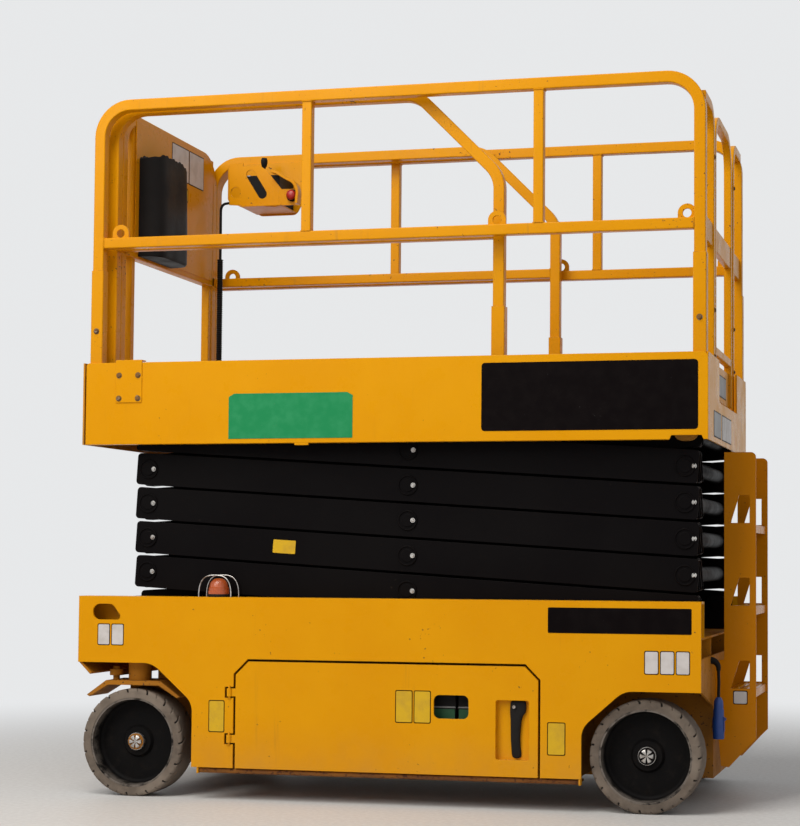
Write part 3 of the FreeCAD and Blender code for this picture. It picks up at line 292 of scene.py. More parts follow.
def add_object(name, data):
    """Adds an object to the scene."""
    thing = bpy.data.objects.new(name, data)
    bpy.context.scene.collection.objects.link(thing)
    return thing


def piece(name, made, finish, body, smooth=False, soften=0.0, stands_for=None):
    """Puts (points, faces) in a mesh, closes its poles, turns its faces outwards, ties it to a body, and
    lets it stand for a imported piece."""
    mesh = bpy.data.meshes.new(name)
    mesh.from_pydata(made[0].tolist(), [], made[1])
    work = bmesh.new()
    work.from_mesh(mesh)
    bmesh.ops.remove_doubles(work, verts=work.verts, dist=1e-6)
    bmesh.ops.recalc_face_normals(work, faces=work.faces)
    work.to_mesh(mesh)
    work.free()
    mesh.polygons.foreach_set("use_smooth", [smooth] * len(mesh.polygons))
    mesh.materials.append(finish)
    thing = add_object(name, mesh)
    if soften:
        edge = thing.modifiers.new("soft_edge", "BEVEL")
        edge.width = soften
        edge.segments = 2
        edge.limit_method = "ANGLE"
        edge.angle_limit = math.radians(40)
    if smooth:
        mesh.set_sharp_from_angle(angle=math.radians(38))
        thing.modifiers.new("even_shading", "WEIGHTED_NORMAL").keep_sharp = True
    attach(thing, body)
    if stands_for:
        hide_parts(stands_for)
    return thing


def gather(parts):
    """Several (points, faces) pairs as one."""
    points, faces, shift = [], [], 0
    for spots, rows in parts:
        points.append(spots)
        faces += [[shift + number for number in row] for row in rows]
        shift += len(spots)
    return np.concatenate(points), faces


def skin(rows):
    """A closed body over rows of points: each row is a ring, and the first and the last are filled."""
    rows = np.asarray(rows)
    count = rows.shape[1]
    total = len(rows) * count
    caps = [list(range(count)), list(range(total - 1, total - count - 1, -1))]
    return rows.reshape(-1, 3), net(len(rows), count, False, True) + caps


def arc(u, v, radius, turn):
    """Points at some angles of a circle about (u, v)."""
    return np.stack([u + radius * np.cos(turn), v + radius * np.sin(turn)], 1)


def rounded(u, v, radius, steps=6):
    """Outline of the rectangle u by v with quarter circles at its corners."""
    turn = np.linspace(0, np.pi / 2, steps)
    turns = (turn[None] + np.arange(4)[:, None] * np.pi / 2).ravel()
    high_u, low_u, high_v, low_v = u[1] - radius, u[0] + radius, v[1] - radius, v[0] + radius
    middle_u = np.repeat([high_u, low_u, low_u, high_u], steps)
    middle_v = np.repeat([high_v, high_v, low_v, low_v], steps)
    return arc(middle_u, middle_v, radius, turns)


def prism(outline, low, high, axis="Y"):
    """An outline carried along an axis from low to high and closed at both ends."""
    u, v = np.asarray(outline, float).T
    ends = np.array([[low], [high]])
    u, v, ends = u + 0 * ends, v + 0 * ends, ends + 0 * u
    return skin(np.stack({"X": (ends, u, v), "Y": (u, ends, v), "Z": (u, v, ends)}[axis], -1))


def turned(profile, centre, axis="Y", sides=40):
    """A profile of (radius, distance along the axis) turned about an axis through centre."""
    radius, along = np.asarray(profile, float).T[:, :, None]
    angle = np.arange(sides) * 2 * np.pi / sides
    first, second, third = radius * np.cos(angle), radius * np.sin(angle), along + 0 * angle
    order = {"X": (third, first, second), "Y": (first, third, second), "Z": (first, second, third)}[axis]
    points = np.stack(order, -1).reshape(-1, 3) + np.asarray(centre, float)
    return points, net(len(profile), sides, False, True)


def pipe(path, radius, across, sides=10):
    """A round bar along a path, of one radius or one for each point. At each point it has a circle square
    to the path, spanned by the direction 'across' less its part along the path, and by the cross product
    of the two."""
    path = np.asarray(path, float)
    ahead = np.gradient(path, axis=0)
    ahead /= np.linalg.norm(ahead, axis=1, keepdims=True)
    first = np.asarray(across, float) - (ahead @ np.asarray(across, float))[:, None] * ahead
    first /= np.linalg.norm(first, axis=1, keepdims=True)
    second = np.cross(ahead, first)
    angle = (np.arange(sides) * 2 * np.pi / sides)[:, None]
    thick = np.broadcast_to(radius, len(path))[:, None, None]
    return skin(path[:, None] + thick * (np.cos(angle) * first[:, None] + np.sin(angle) * second[:, None]))


def hex_heads(spots, axis, side, radius, height):
    """Bolt heads on washers at several spots: a six-sided chamfered head standing out along an axis."""
    head = [(0, height), (0.8 * radius, height), (radius, 0.8 * height), (radius, 0)]
    washer = [(1.45 * radius, 0.0), (1.45 * radius, 0.14 * height), (0, 0.14 * height)]
    both = gather([turned(head, (0, 0, 0), axis, 6), turned(washer, (0, 0, 0), axis, 20)])
    points = both[0] * np.array([side if axis == name else 1 for name in "XYZ"])
    return gather([(points + np.asarray(spot, float), both[1]) for spot in spots])


# Solid tyres: grey-black rubber pressed on the rim, with a flat tread, rounded shoulders and
# short slanting sipes cut in from both edges. The tread is worn and dusted a pale brown.
rubber, tree, shader, place = bare_material("tyre_rubber")
mottle = noise(tree, place, 16.0, 8.0, 0.65)
cloud = noise(tree, place, 4.5, 4.0)
base = blend_colour(tree, ramp(tree, mottle, 0.3, 0.7), (0.105, 0.082, 0.064, 1), (0.175, 0.138, 0.108, 1))
base = blend_colour(tree, ramp(tree, cloud, 0.42, 0.72), base, (0.235, 0.19, 0.15, 1))
# The sipes are darkened to near black by the share of each point that is cut: painted shade in the cuts.
sipe_painted_shade = put(tree, "Attribute", attribute_name="sipe_painted_shade").outputs["Fac"]
base = blend_colour(tree, ramp(tree, sipe_painted_shade, 0.15, 0.8), base, (0.014, 0.012, 0.011, 1))
dress(tree, shader, place, base, ramp(tree, mottle, 0.3, 0.8, 0.72, 0.95), (110.0, 600.0, 0.0006), shine=0.2)

STEPS, SIPES = 576, 15
SHOULDER = 0.010
LONG_SIPE, SHORT_SIPE, SIPE_DEPTH = 0.030, 0.020, 0.0065
for end in ("front", "rear"):
    for side_name, side in SIDES:
        node = "tyre_%s_%s" % (end, side_name)
        low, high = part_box(node)
        axle_x, radius, middle_y = (low.x + high.x) / 2, (high.x - low.x) / 2, (low.y + high.y) / 2
        half = (high.y - low.y) / 2
        lower = arc(radius - SHOULDER, SHOULDER - half, SHOULDER, np.linspace(-np.pi / 2, 0, 6))
        tread = np.stack([np.full(17, radius), np.linspace(-half + SHOULDER, half - SHOULDER, 19)[1:-1]], 1)
        wall = np.stack([np.linspace(radius - 0.032, radius - SHOULDER, 7)[:-1], np.full(6, -half)], 1)
        edge = np.concatenate([wall, lower])
        profile = np.concatenate([edge, tread, edge[::-1] * (1, -1)])
        reach, along = profile.T[:, :, None]
        angle = (np.arange(STEPS) * 2 * np.pi / STEPS)[None]
        from_edge = half - np.abs(along)
        lean = angle + 3.4 * np.minimum(from_edge, 0.032) * np.sign(along)
        pitch = 2 * np.pi / SIPES
        off = (lean + np.where(along > 0, pitch / 2, 0) + pitch / 2) % pitch - pitch / 2
        long_cut = np.exp(-((off / 0.017) ** 4)) * (from_edge < LONG_SIPE) * (reach > radius - 0.013)
        half_off = (lean + np.where(along > 0, pitch / 2, 0)) % pitch - pitch / 2
        short_cut = np.exp(-((half_off / 0.012) ** 4)) * (from_edge < SHORT_SIPE) * (reach > radius - 0.009)
        cut = np.maximum(long_cut, 0.45 * short_cut)
        into = reach - SIPE_DEPTH * cut * (reach > radius - 0.012)
        inward = along - np.sign(along) * 0.004 * cut * (from_edge < 0.004)
        points = np.stack([axle_x + into * np.cos(angle), middle_y + inward + 0 * angle,
                           radius + into * np.sin(angle)], -1).reshape(-1, 3)
        faces = net(len(profile), STEPS, True, True)
        tyre = piece("worn_" + node, (points, faces), rubber, "wheel_%s_%s" % (end, side_name),
                     True, stands_for=node)
        # Each point's cut share is stored for the painted shade in the sipes.
        depth = tyre.data.attributes.new("sipe_painted_shade", "FLOAT", "POINT")
        depth.data.foreach_set("value", cut.astype(np.float32).ravel())

# Rims: pressed steel discs in matt black, rubbed to metal at the lip and inside the barrel.
# A silver slotted nut holds each one on its spindle.
front_box, rear_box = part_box("tyre_front_near"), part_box("tyre_rear_near")
AXLES = {"front": (front_box[0].x + front_box[1].x) / 2, "rear": (rear_box[0].x + rear_box[1].x) / 2}
WHEEL = (front_box[1].z - front_box[0].z) / 2
rim_black, tree, shader, place = bare_material("rim_black")
flat_place = put(tree, "VectorMath", {0: place, 1: (1.0, 0.0, 1.0)}, operation="MULTIPLY").outputs[0]
spans = []
for axle_x in AXLES.values():
    apart = put(tree, "VectorMath", {0: flat_place, 1: (axle_x, 0.0, WHEEL)}, operation="DISTANCE")
    spans.append(apart.outputs["Value"])
from_axle = sums(tree, "MINIMUM", *spans)
scuff = noise(tree, place, 24.0, 7.0, 0.66)
lip_rub = sums(tree, "MULTIPLY", ramp(tree, from_axle, 0.147, 0.151), ramp(tree, scuff, 0.34, 0.6))
dusty = ramp(tree, scuff, 0.46, 0.8, 0.0, 0.5)
base = blend_colour(tree, dusty, (0.0045, 0.0040, 0.0040, 1), (0.02, 0.016, 0.0135, 1))
base = blend_colour(tree, lip_rub, base, (0.20, 0.17, 0.145, 1))
dress(tree, shader, place, base, ramp(tree, scuff, 0.3, 0.8, 0.5, 0.75), (70.0, 380.0, 0.00035),
      sums(tree, "MULTIPLY", lip_rub, 0.8), 0.06)

steel, tree, shader, place = bare_material("bare_steel")
brushed = noise(tree, place, 85.0, 5.0, 0.6)
tarnish = noise(tree, place, 19.0, 5.0)
base = blend_colour(tree, ramp(tree, brushed, 0.3, 0.7), (0.36, 0.34, 0.32, 1), (0.62, 0.60, 0.57, 1))
base = blend_colour(tree, ramp(tree, tarnish, 0.5, 0.72), base, (0.17, 0.115, 0.08, 1))
dress(tree, shader, place, base, ramp(tree, brushed, 0.3, 0.75, 0.24, 0.5), (140.0, 700.0, 0.0002),
      ramp(tree, tarnish, 0.55, 0.75, 0.95, 0.35))

for end, axle_x in AXLES.items():
    for side_name, side in SIDES:
        paint_nodes(rim_black, "rim_%s_%s" % (end, side_name))
        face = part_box("tyre_%s_%s" % (end, side_name))
        hub_face = min(abs(face[0].y), abs(face[1].y)) + 0.079
        turn = np.arange(96) * 2 * np.pi / 96
        slot_cut = np.abs((turn * 6 / (2 * np.pi)) % 1 - 0.5) < 0.14
        rows = [(0.0, 0.0195), (0.0085, 0.0195), (0.0085, 0.0235), (0.019, 0.0235), (0.0225, 0.0215),
                (0.0255, 0.013), (0.0305, 0.013), (0.0305, 0.0005), (0.0, 0.0005)]
        radii, depth = np.array(rows).T[:, :, None] + 0 * turn
        in_crown = (radii > 0.008) & (radii < 0.026) & (depth > 0.014)
        depth = depth - 0.009 * (in_crown & slot_cut[None])
        points = np.stack([axle_x + radii * np.cos(turn), side * (hub_face + depth),
                           WHEEL + radii * np.sin(turn)], -1)
        body = "knuckle_" + side_name if end == "front" else "chassis"
        piece("slotted_nut_%s_%s" % (end, side_name),
              (points.reshape(-1, 3), net(len(rows), 96, False, True)), steel, body, True)


# Labels, panels and the owner's plate: printed film and sheet, all blank here. Each small label
# is a pale or yellow pad on a thin dark border, stuck to the paint.
def film(name, colour, second, gloss, shine=0.1):
    """Printed film: a flat colour with faint mottling, finger marks and a fine grain."""
    material, tree, shader, place = bare_material(name)
    cloud = noise(tree, place, 21.0, 6.0, 0.6)
    base = blend_colour(tree, ramp(tree, cloud, 0.38, 0.72), (*colour, 1), (*second, 1))
    scratch = use(tree, chips, place, Size=160.0, Level=0.73)
    base = blend_colour(tree, scratch, base, (*[0.5 * part + 0.05 for part in second], 1))
    rough = ramp(tree, cloud, 0.3, 0.75, gloss, gloss + 0.18)
    dress(tree, shader, place, base, rough, (90.0, 800.0, 0.00006), shine=shine)
    return material


black_film = film("black_film", (0.0036, 0.0022, 0.0024), (0.0055, 0.0038, 0.0038), 0.40, 0.03)
white_film = film("white_film", (0.62, 0.58, 0.56), (0.52, 0.48, 0.45), 0.35)
yellow_film = film("yellow_film", (0.66, 0.40, 0.02), (0.55, 0.33, 0.03), 0.35)
green_film = film("green_film", (0.014, 0.235, 0.080), (0.026, 0.265, 0.100), 0.33)
cell_green = film("battery_band", (0.035, 0.115, 0.055), (0.055, 0.130, 0.075), 0.40)
grey_film = film("grey_film", (0.22, 0.22, 0.22), (0.30, 0.29, 0.28), 0.3)


def stuck_on(face_y, side, thickness):
    """The two Y planes of something stuck to a side, sunk a little into it."""
    ends = (side * (face_y - 0.0004), side * (face_y + thickness))
    return min(ends), max(ends)


def label(name, spans, z, finish, face_y, side, body):
    """A row of blank pads on thin dark borders."""
    backs, pads = [], []
    for low_x, high_x in spans:
        backs.append(prism(rounded((low_x, high_x), z, 0.006), *stuck_on(face_y, side, 0.0005)))
        inner = rounded((low_x + 0.003, high_x - 0.003), (z[0] + 0.003, z[1] - 0.003), 0.0045)
        pads.append(prism(inner, *stuck_on(face_y, side, 0.0009)))
    piece(name + "_border", gather(backs), black_film, body)
    piece(name, gather(pads), finish, body)


CHASSIS_FACE, SKIRT_FACE = 0.585, 0.575
for side_name, side in SIDES:
    for name, spans, z, finish, body in (
            ("lifting_labels_", [(-1.116, -1.068), (-1.063, -1.015)], (0.535, 0.612), white_film, "chassis"),
            ("rear_labels_", [(0.859, 0.908), (0.912, 0.961), (0.965, 1.013)], (0.467, 0.546), white_film,
             "chassis"),
            ("hinge_label_", [(-0.689, -0.629)], (0.237, 0.349), yellow_film, "chassis"),
            ("arch_label_", [(0.529, 0.592)], (0.190, 0.301), yellow_film, "chassis"),
            ("door_labels_", [(-0.005, 0.057), (0.061, 0.122)], (0.286, 0.398), yellow_film,
             "door_" + side_name)):
        label(name + side_name, spans, z, finish, CHASSIS_FACE, side, body)
    panel = prism(rounded((0.530, 1.018), (0.601, 0.687), 0.004), *stuck_on(CHASSIS_FACE, side, 0.0008))
    piece("chassis_panel_" + side_name, panel, black_film, "chassis")
    panel = prism(rounded((0.291, 1.038), (1.287, 1.522), 0.012), *stuck_on(SKIRT_FACE, side, 0.001))
    piece("platform_panel_" + side_name, panel, black_film, "platform")
plate_outline = [(-0.632, 1.269), (-0.172, 1.269), (-0.172, 1.418), (-0.192, 1.429), (-0.612, 1.429),
                 (-0.632, 1.418)]
piece("owner_plate", prism(plate_outline, *stuck_on(SKIRT_FACE, -1, 0.0014)), green_film, "platform",
      soften=0.0004)

label("ladder_label", [(1.112, 1.163)], (0.347, 0.395), white_film, 0.210, -1, "chassis")


def plate_on(name, y, z, face_x, finish, body, thickness=0.0012):
    """A blank plate with rounded corners on a face that looks towards +X."""
    outline = rounded(y, z, 0.004)
    piece(name + "_back", prism(outline, face_x - 0.0005, face_x + 0.5 * thickness, "X"), black_film, body)
    inner = rounded((y[0] + 0.004, y[1] - 0.004), (z[0] + 0.004, z[1] - 0.004), 0.003)
    piece(name, prism(inner, face_x - 0.0005, face_x + thickness, "X"), finish, body)


sill_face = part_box("rear_sill")[1].x
panel_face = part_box("front_panel")[1].x
plate_on("gate_plate", (-0.095, 0.140), (1.440, 1.520), 1.045, grey_film, "gate")
plate_on("load_plate", (-0.199, 0.078), (1.271, 1.362), sill_face, white_film, "platform")
plate_on("rating_plate", (-0.425, -0.225), (1.271, 1.362), sill_face, grey_film, "platform")
plate_on("signal_panel", (-0.017, 0.150), (2.338, 2.474), panel_face, white_film, "extension")
plate_on("safety_panel", (0.154, 0.303), (2.338, 2.474), panel_face, white_film, "extension")
plate_on("panel_label", (0.026, 0.146), (2.263, 2.316), panel_face, yellow_film, "extension")

# Battery blocks: a dull green band and a pale seam run along each block, seen through the window.
pack_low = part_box("battery_pack")[0]
bands = []
seams = []
for number in range(4):
    low_x = pack_low.x + 0.255 * number
    bands.append(prism(rounded((low_x + 0.002, low_x + 0.243), (0.200, 0.333), 0.004), pack_low.y - 0.003,
                       pack_low.y + 0.001))
    seams.append(prism(rounded((low_x, low_x + 0.245), (0.337, 0.342), 0.002), pack_low.y - 0.002,
                       pack_low.y + 0.001))
piece("battery_bands", gather(bands), cell_green, "chassis")
piece("battery_seams", gather(seams), grey_film, "chassis")

# Scissor arms: five crossed levels of black box-section arms on turned pins. A raised ring
# surrounds each pin, and one bright bolt beside its middle keeps the pin from turning.
SLOPE = math.radians(3.61)
HALF_ARM = 0.976 / math.cos(SLOPE)
MIDDLE_X, STACK_FOOT = 0.006, 0.675


def on_arm(level, u, v, lean=1):
    """Place of a point u along and v up from the middle pin of an arm of a level."""
    middle_z = STACK_FOOT + 2 * HALF_ARM * math.sin(SLOPE) * (level - 0.5)
    return (MIDDLE_X + u * math.cos(SLOPE) + lean * v * math.sin(SLOPE),
            middle_z - lean * u * math.sin(SLOPE) + v * math.cos(SLOPE))


for level in range(1, 6):
    rings = []
    heads = []
    for side in (-1, 1):
        for u, shift, face in ((-HALF_ARM, 0.020, 0.495), (0, 0.020, 0.495), (HALF_ARM, 0.032, 0.492)):
            x, z = on_arm(level, u, 0)
            lip = [(0.0355, 0.488), (0.0355, 0.4935), (0.0340, 0.4950), (0.0315, 0.4950), (0.0300, 0.4930)]
            rings.append(turned([(r, side * y) for r, y in lip], (x, 0, z), "Y", 36))
            heads.append(hex_heads([(x + shift, side * face, z)], "Y", side, 0.0058, 0.0052))
    piece("arm_rings_%d" % level, gather(rings), arm_black, "outer_%d" % level, True)
    piece("arm_bolts_%d" % level, gather(heads), steel, "outer_%d" % level)

for name, inset, thickness, finish in (("arm_label_border", 0, 0.0005, black_film),
                                       ("arm_label", 0.003, 0.001, yellow_film)):
    outline = rounded((-0.501 + inset, -0.411 - inset), (-0.026 + inset, 0.027 - inset), 0.003)
    spots = np.array([on_arm(2, u, v) for u, v in outline])
    piece(name, prism(spots, -0.490 - thickness, -0.4895), finish, "outer_2")

# Lift cylinders and rollers: bright chromed rods under a thin film of oil, and bare steel rollers.
chrome, tree, shader, place = bare_material("chromed_rod")
film_of_oil = noise(tree, place, 31.0, 5.0, 0.6)
base = blend_colour(tree, film_of_oil, (0.62, 0.62, 0.63, 1), (0.46, 0.44, 0.42, 1))
dress(tree, shader, place, base, ramp(tree, film_of_oil, 0.35, 0.75, 0.08, 0.26),
      (120.0, 900.0, 0.00004), 1.0)
paint_nodes(chrome, "cylinder_rod_1", "cylinder_rod_2")
paint_nodes(steel, "base_rollers")

# Decks: steel plate with raised bars for grip, painted and then trodden bare along the bars.
raised_bars, wants, gives = effect("raised_bars", [("Place", "Vector", None), ("Pitch", "Float", 0.030)],
                                   [("Height", "Float")])
turned_place = put(raised_bars, "VectorRotate", {"Vector": wants["Place"], "Angle": math.pi / 4},
                   rotation_type="Z_AXIS").outputs[0]
bars_a_metre = sums(raised_bars, "DIVIDE", 1.0, wants["Pitch"])
counted = put(raised_bars, "VectorMath", {0: turned_place, "Scale": bars_a_metre},
              operation="SCALE").outputs[0]
steps = put(raised_bars, "SeparateXYZ", {0: counted}).outputs
from_u, from_v = [sums(raised_bars, "ABSOLUTE", sums(raised_bars, "SUBTRACT", sums(
    raised_bars, "FRACT", steps[name]), 0.5)) for name in "XY"]
row_sum = sums(raised_bars, "ADD", *[sums(raised_bars, "FLOOR", steps[name]) for name in "XY"])
odd = sums(raised_bars, "MODULO", sums(raised_bars, "ABSOLUTE", row_sum), 2.0)
long_way = put(raised_bars, "Mix", {0: odd, 2: from_u, 3: from_v}).outputs[0]
short_way = put(raised_bars, "Mix", {0: odd, 2: from_v, 3: from_u}).outputs[0]
bar = sums(raised_bars, "MULTIPLY", ramp(raised_bars, long_way, 0.44, 0.34),
           ramp(raised_bars, short_way, 0.15, 0.07))
raised_bars.links.new(bar, gives["Height"])

deck_steel, tree, shader, place = bare_material("deck_plate")
pattern = use(tree, raised_bars, place)
flat_up = put(tree, "SeparateXYZ", {0: put(tree, "NewGeometry").outputs["Normal"]}).outputs["Z"]
pattern = sums(tree, "MULTIPLY", pattern, ramp(tree, flat_up, 0.85, 0.95))
tread_wear = noise(tree, place, 4.0, 7.0, 0.65)
worn = sums(tree, "MULTIPLY", pattern, ramp(tree, tread_wear, 0.4, 0.6))
base = blend_colour(tree, ramp(tree, tread_wear, 0.35, 0.7), (0.60, 0.235, 0.004, 1), (0.40, 0.185, 0.03, 1))
base = blend_colour(tree, worn, base, (0.34, 0.32, 0.30, 1))
feed(tree, shader, {"Base Color": base, "Metallic": worn, "Specular IOR Level": 0.2,
                    "Roughness": ramp(tree, tread_wear, 0.3, 0.8, 0.4, 0.7)})
relief(tree, shader, sums(tree, "MULTIPLY_ADD", use(tree, fine_relief, place), 0.1, pattern), 0.0012)
paint_nodes(deck_steel, "platform_deck", "extension_deck")


# Guard rails: square steel tube bent on a large radius, with sleeves over the post feet, a mid
# rail, short upper posts and lashing eyes. All joints are welded and painted over.
def bent(points, bend, steps=12):
    """A route with round corners: at each inner point an arc of radius 'bend' touches both runs. The arc
    starts and ends bend / tan(half the corner's angle) from the point, and its centre lies on the line
    that halves the angle."""
    points = np.asarray(points, float)
    route = [points[:1]]
    for before, corner, after in zip(points, points[1:], points[2:]):
        back = (before - corner) / np.linalg.norm(before - corner)
        onward = (after - corner) / np.linalg.norm(after - corner)
        half_angle = math.acos(float(back @ onward)) / 2
        middle = (back + onward) / np.linalg.norm(back + onward)
        centre = corner + middle * bend / math.sin(half_angle)
        first = corner + back * bend / math.tan(half_angle) - centre
        last = corner + onward * bend / math.tan(half_angle) - centre
        sweep = math.pi - 2 * half_angle
        share = np.linspace(0, 1, steps)[:, None]
        swept = (np.sin((1 - share) * sweep) * first + np.sin(share * sweep) * last) / math.sin(sweep)
        route.append(centre + swept)
    return np.concatenate(route + [points[-1:]])


def square_tube(route, half, square_to, corner=0.004):
    """A square tube with rounded corners along a flat route. Its outline is a rounded square, spanned by
    the normal of the route's plane and by that normal's cross product with the direction ahead. At a
    point on a bend the outline is stretched across by 1 / cos(half the turn)."""
    route = np.asarray(route, float)
    steps = np.diff(route, axis=0)
    steps /= np.linalg.norm(steps, axis=1, keepdims=True)
    ahead = np.concatenate([steps[:1], steps[:-1] + steps[1:], steps[-1:]])
    ahead /= np.linalg.norm(ahead, axis=1, keepdims=True)
    turn = np.concatenate([[1], np.sum(ahead[1:-1] * steps[1:], 1), [1]])
    plane = np.asarray(square_to, float)
    aside = np.cross(plane, ahead) / turn[:, None]
    outline = rounded((-half, half), (-half, half), corner, 4)
    return skin(route[:, None] + outline[None, :, :1] * aside[:, None] + outline[None, :, 1:] * plane)


def lashing_eye(x, y, foot_z):
    """An upright eye: rings from a round hole's edge to the outline, which is a half circle above the
    hole and a straight-sided foot below it."""
    hole_radius, arch_radius, half_plate = 0.015, 0.032, 0.004
    hole_z = foot_z + 0.036
    turn = np.linspace(0, 2 * np.pi, 48, endpoint=False)
    across, up = np.cos(turn), np.sin(turn)
    foot = arch_radius / np.maximum(np.abs(across), np.where(up < 0, np.abs(up) * 0.89, 0))
    hole = arc(x, hole_z, hole_radius, turn)
    edge = arc(x, hole_z, np.where(up >= 0, arch_radius, foot), turn)
    flats = [(hole, y - half_plate), (edge, y - half_plate), (edge, y + half_plate), (hole, y + half_plate)]
    points = np.stack([np.stack([flat[:, 0], np.full(48, level), flat[:, 1]], 1) for flat, level in flats])
    return points.reshape(-1, 3), net(4, 48, True, True)


def bead_around(centre, half_u, half_v, plane):
    """A weld bead round a square tube: a thin bar along the tube's outline, whose radius swells with a
    sine at each drop."""
    outline = rounded((-half_u, half_u), (-half_v, half_v), 0.004, 8)
    outline = np.concatenate([outline, outline[:1]])
    run = np.concatenate([[0], np.cumsum(np.linalg.norm(np.diff(outline, axis=0), axis=1))])
    even = np.linspace(0, run[-1], 97)
    u, v = np.interp(even, run, outline[:, 0]), np.interp(even, run, outline[:, 1])
    path = {"YZ": np.stack([0 * u, u, v], 1), "XY": np.stack([u, v, 0 * u], 1)}[plane] + np.asarray(centre)
    across = {"YZ": (1, 0, 0), "XY": (0, 0, 1)}[plane]
    return pipe(path, 0.0024 + 0.0005 * np.sin(even * 2 * np.pi / 0.0045), across, 6)


def railing(name, parts, body, stands_for=None):
    """A painted steel piece of the guard rails."""
    return piece(name, gather(parts), rail_yellow, body, True, stands_for=stands_for)


def upright(x, y, low, high, half, square_to=(0, 1, 0)):
    """A square post."""
    return square_tube([(x, y, low), (x, y, high)], half, square_to)


def mid_bar(y, low_x, high_x, half):
    """A square bar along the side at the mid rail's height."""
    return square_tube([(low_x, y, MID_RAIL), (high_x, y, MID_RAIL)], half, (0, 1, 0))


DECK_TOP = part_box("platform_deck")[1].z
SLIDE_TOP = DECK_TOP + 0.018
SKIRT_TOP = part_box("skirt_near")[1].z
MID_RAIL = DECK_TOP + 0.585
TOP_RAIL = DECK_TOP + 1.088
NOSE, TAIL = -1.148, 1.042
INNER_NOSE, INNER_TAIL = -1.126, 0.3285
RAIL_BEND = 0.115
UPPER_POSTS = (-0.357, 0.484)
for side_name, side in SIDES:
    y = side * 0.545
    hoop = bent([(NOSE, y, DECK_TOP), (NOSE, y, TOP_RAIL), (TAIL, y, TOP_RAIL), (TAIL, y, DECK_TOP)],
                RAIL_BEND)
    parts = [square_tube(hoop, 0.020, (0, 1, 0)), mid_bar(y, NOSE, TAIL, 0.019)]
    parts += [upright(x, y, DECK_TOP, DECK_TOP + 0.485, 0.023) for x in (NOSE, TAIL)]
    parts += [upright(x, y, MID_RAIL, TOP_RAIL, 0.018) for x in UPPER_POSTS]
    railing("side_rail_" + side_name, parts, "platform", "rail_" + side_name)
    eyes = [lashing_eye(x, y, MID_RAIL) for x in (-1.068, 0.336, 0.997)]
    railing("lashing_eyes_" + side_name, eyes, "platform", "rail_" + side_name)
    beads = [bead_around((x, y, MID_RAIL), 0.0195, 0.0195, "YZ") for x in (NOSE + 0.0205, TAIL - 0.0205)]
    for x in UPPER_POSTS:
        beads.append(bead_around((x, y, MID_RAIL + 0.0195), 0.0185, 0.0185, "XY"))
        beads.append(bead_around((x, y, TOP_RAIL - 0.0205), 0.0185, 0.0185, "XY"))
    railing("rail_welds_" + side_name, beads, "platform")

    y = side * 0.475
    hoop = bent([(INNER_NOSE, y, SLIDE_TOP), (INNER_NOSE, y, TOP_RAIL), (INNER_TAIL - 0.3, y, TOP_RAIL),
                 (INNER_TAIL, y, TOP_RAIL - 0.3), (INNER_TAIL, y, SLIDE_TOP)], RAIL_BEND)
    parts = [square_tube(hoop, 0.020, (0, 1, 0)), mid_bar(y, INNER_NOSE, INNER_TAIL, 0.018),
             upright(INNER_TAIL, y, SLIDE_TOP, SLIDE_TOP + 0.31, 0.024)]
    railing("roll_out_rail_" + side_name, parts, "extension", "extension_rail_" + side_name)
    ends = (INNER_NOSE + 0.0205, INNER_TAIL - 0.0205)
    beads = [bead_around((x, y, MID_RAIL), 0.0185, 0.0185, "YZ") for x in ends]
    railing("roll_out_welds_" + side_name, beads, "extension")

# Front frame of the roll-out deck: a hoop with a mid bar and two posts that carry the panel. Round
# studs tie it to the side rails.
FRAME_TOP, HALF_FRAME = TOP_RAIL - 0.004, 0.434
hoop = bent([(INNER_NOSE, y, z) for y, z in ((-HALF_FRAME, SLIDE_TOP), (-HALF_FRAME, FRAME_TOP),
                                             (HALF_FRAME, FRAME_TOP), (HALF_FRAME, SLIDE_TOP))], RAIL_BEND)
parts = [square_tube(hoop, 0.020, (1, 0, 0)),
         square_tube([(INNER_NOSE, -HALF_FRAME, MID_RAIL), (INNER_NOSE, HALF_FRAME, MID_RAIL)], 0.020,
                     (1, 0, 0))]
parts += [upright(INNER_NOSE, y, SLIDE_TOP, FRAME_TOP, 0.016, (1, 0, 0)) for y in (-0.345, 0.405)]
for side in (-1, 1):
    for z in (MID_RAIL + 0.06, SLIDE_TOP + 0.34):
        stud = [(INNER_NOSE, side * 0.451, z), (INNER_NOSE, side * 0.456, z)]
        parts.append(pipe(stud, 0.008, (1, 0, 0), 16))
railing("front_hoop", parts, "extension", "front_frame")

# Rear frame and gate: a short hoop with a broad band on each side of the opening, and a
# round-topped gate that hangs on two pins. Its toe board is plain sheet.
POST_Y, HINGE_Y = 0.290, -0.261
HINGE_LEVELS = (TOP_RAIL - 0.281, DECK_TOP + 0.394)
band = rounded((TAIL - 0.011, TAIL + 0.011), (MID_RAIL - 0.040, MID_RAIL + 0.040), 0.003, 4)
parts = []
for side in (-1, 1):
    hoop = bent([(TAIL, side * 0.525, TOP_RAIL - 0.06), (TAIL, side * POST_Y, TOP_RAIL - 0.06),
                 (TAIL, side * POST_Y, DECK_TOP)], 0.09)
    parts.append(square_tube(hoop, 0.016, (1, 0, 0)))
    parts.append(prism(band, *sorted((side * 0.300, side * 0.525))))
for z in HINGE_LEVELS:
    pin = [(0, -0.034), (0.004, -0.034), (0.004, 0.034), (0, 0.034)]
    parts.append(turned(pin, (TAIL, HINGE_Y, z), "Z", 24))
    for low_z in (z - 0.034, z + 0.030):
        lug = rounded((TAIL - 0.006, TAIL + 0.006), (-0.276, HINGE_Y + 0.006), 0.004, 4)
        parts.append(prism(lug, low_z, low_z + 0.004, "Z"))
railing("rear_hoops", parts, "platform", "rear_frame")

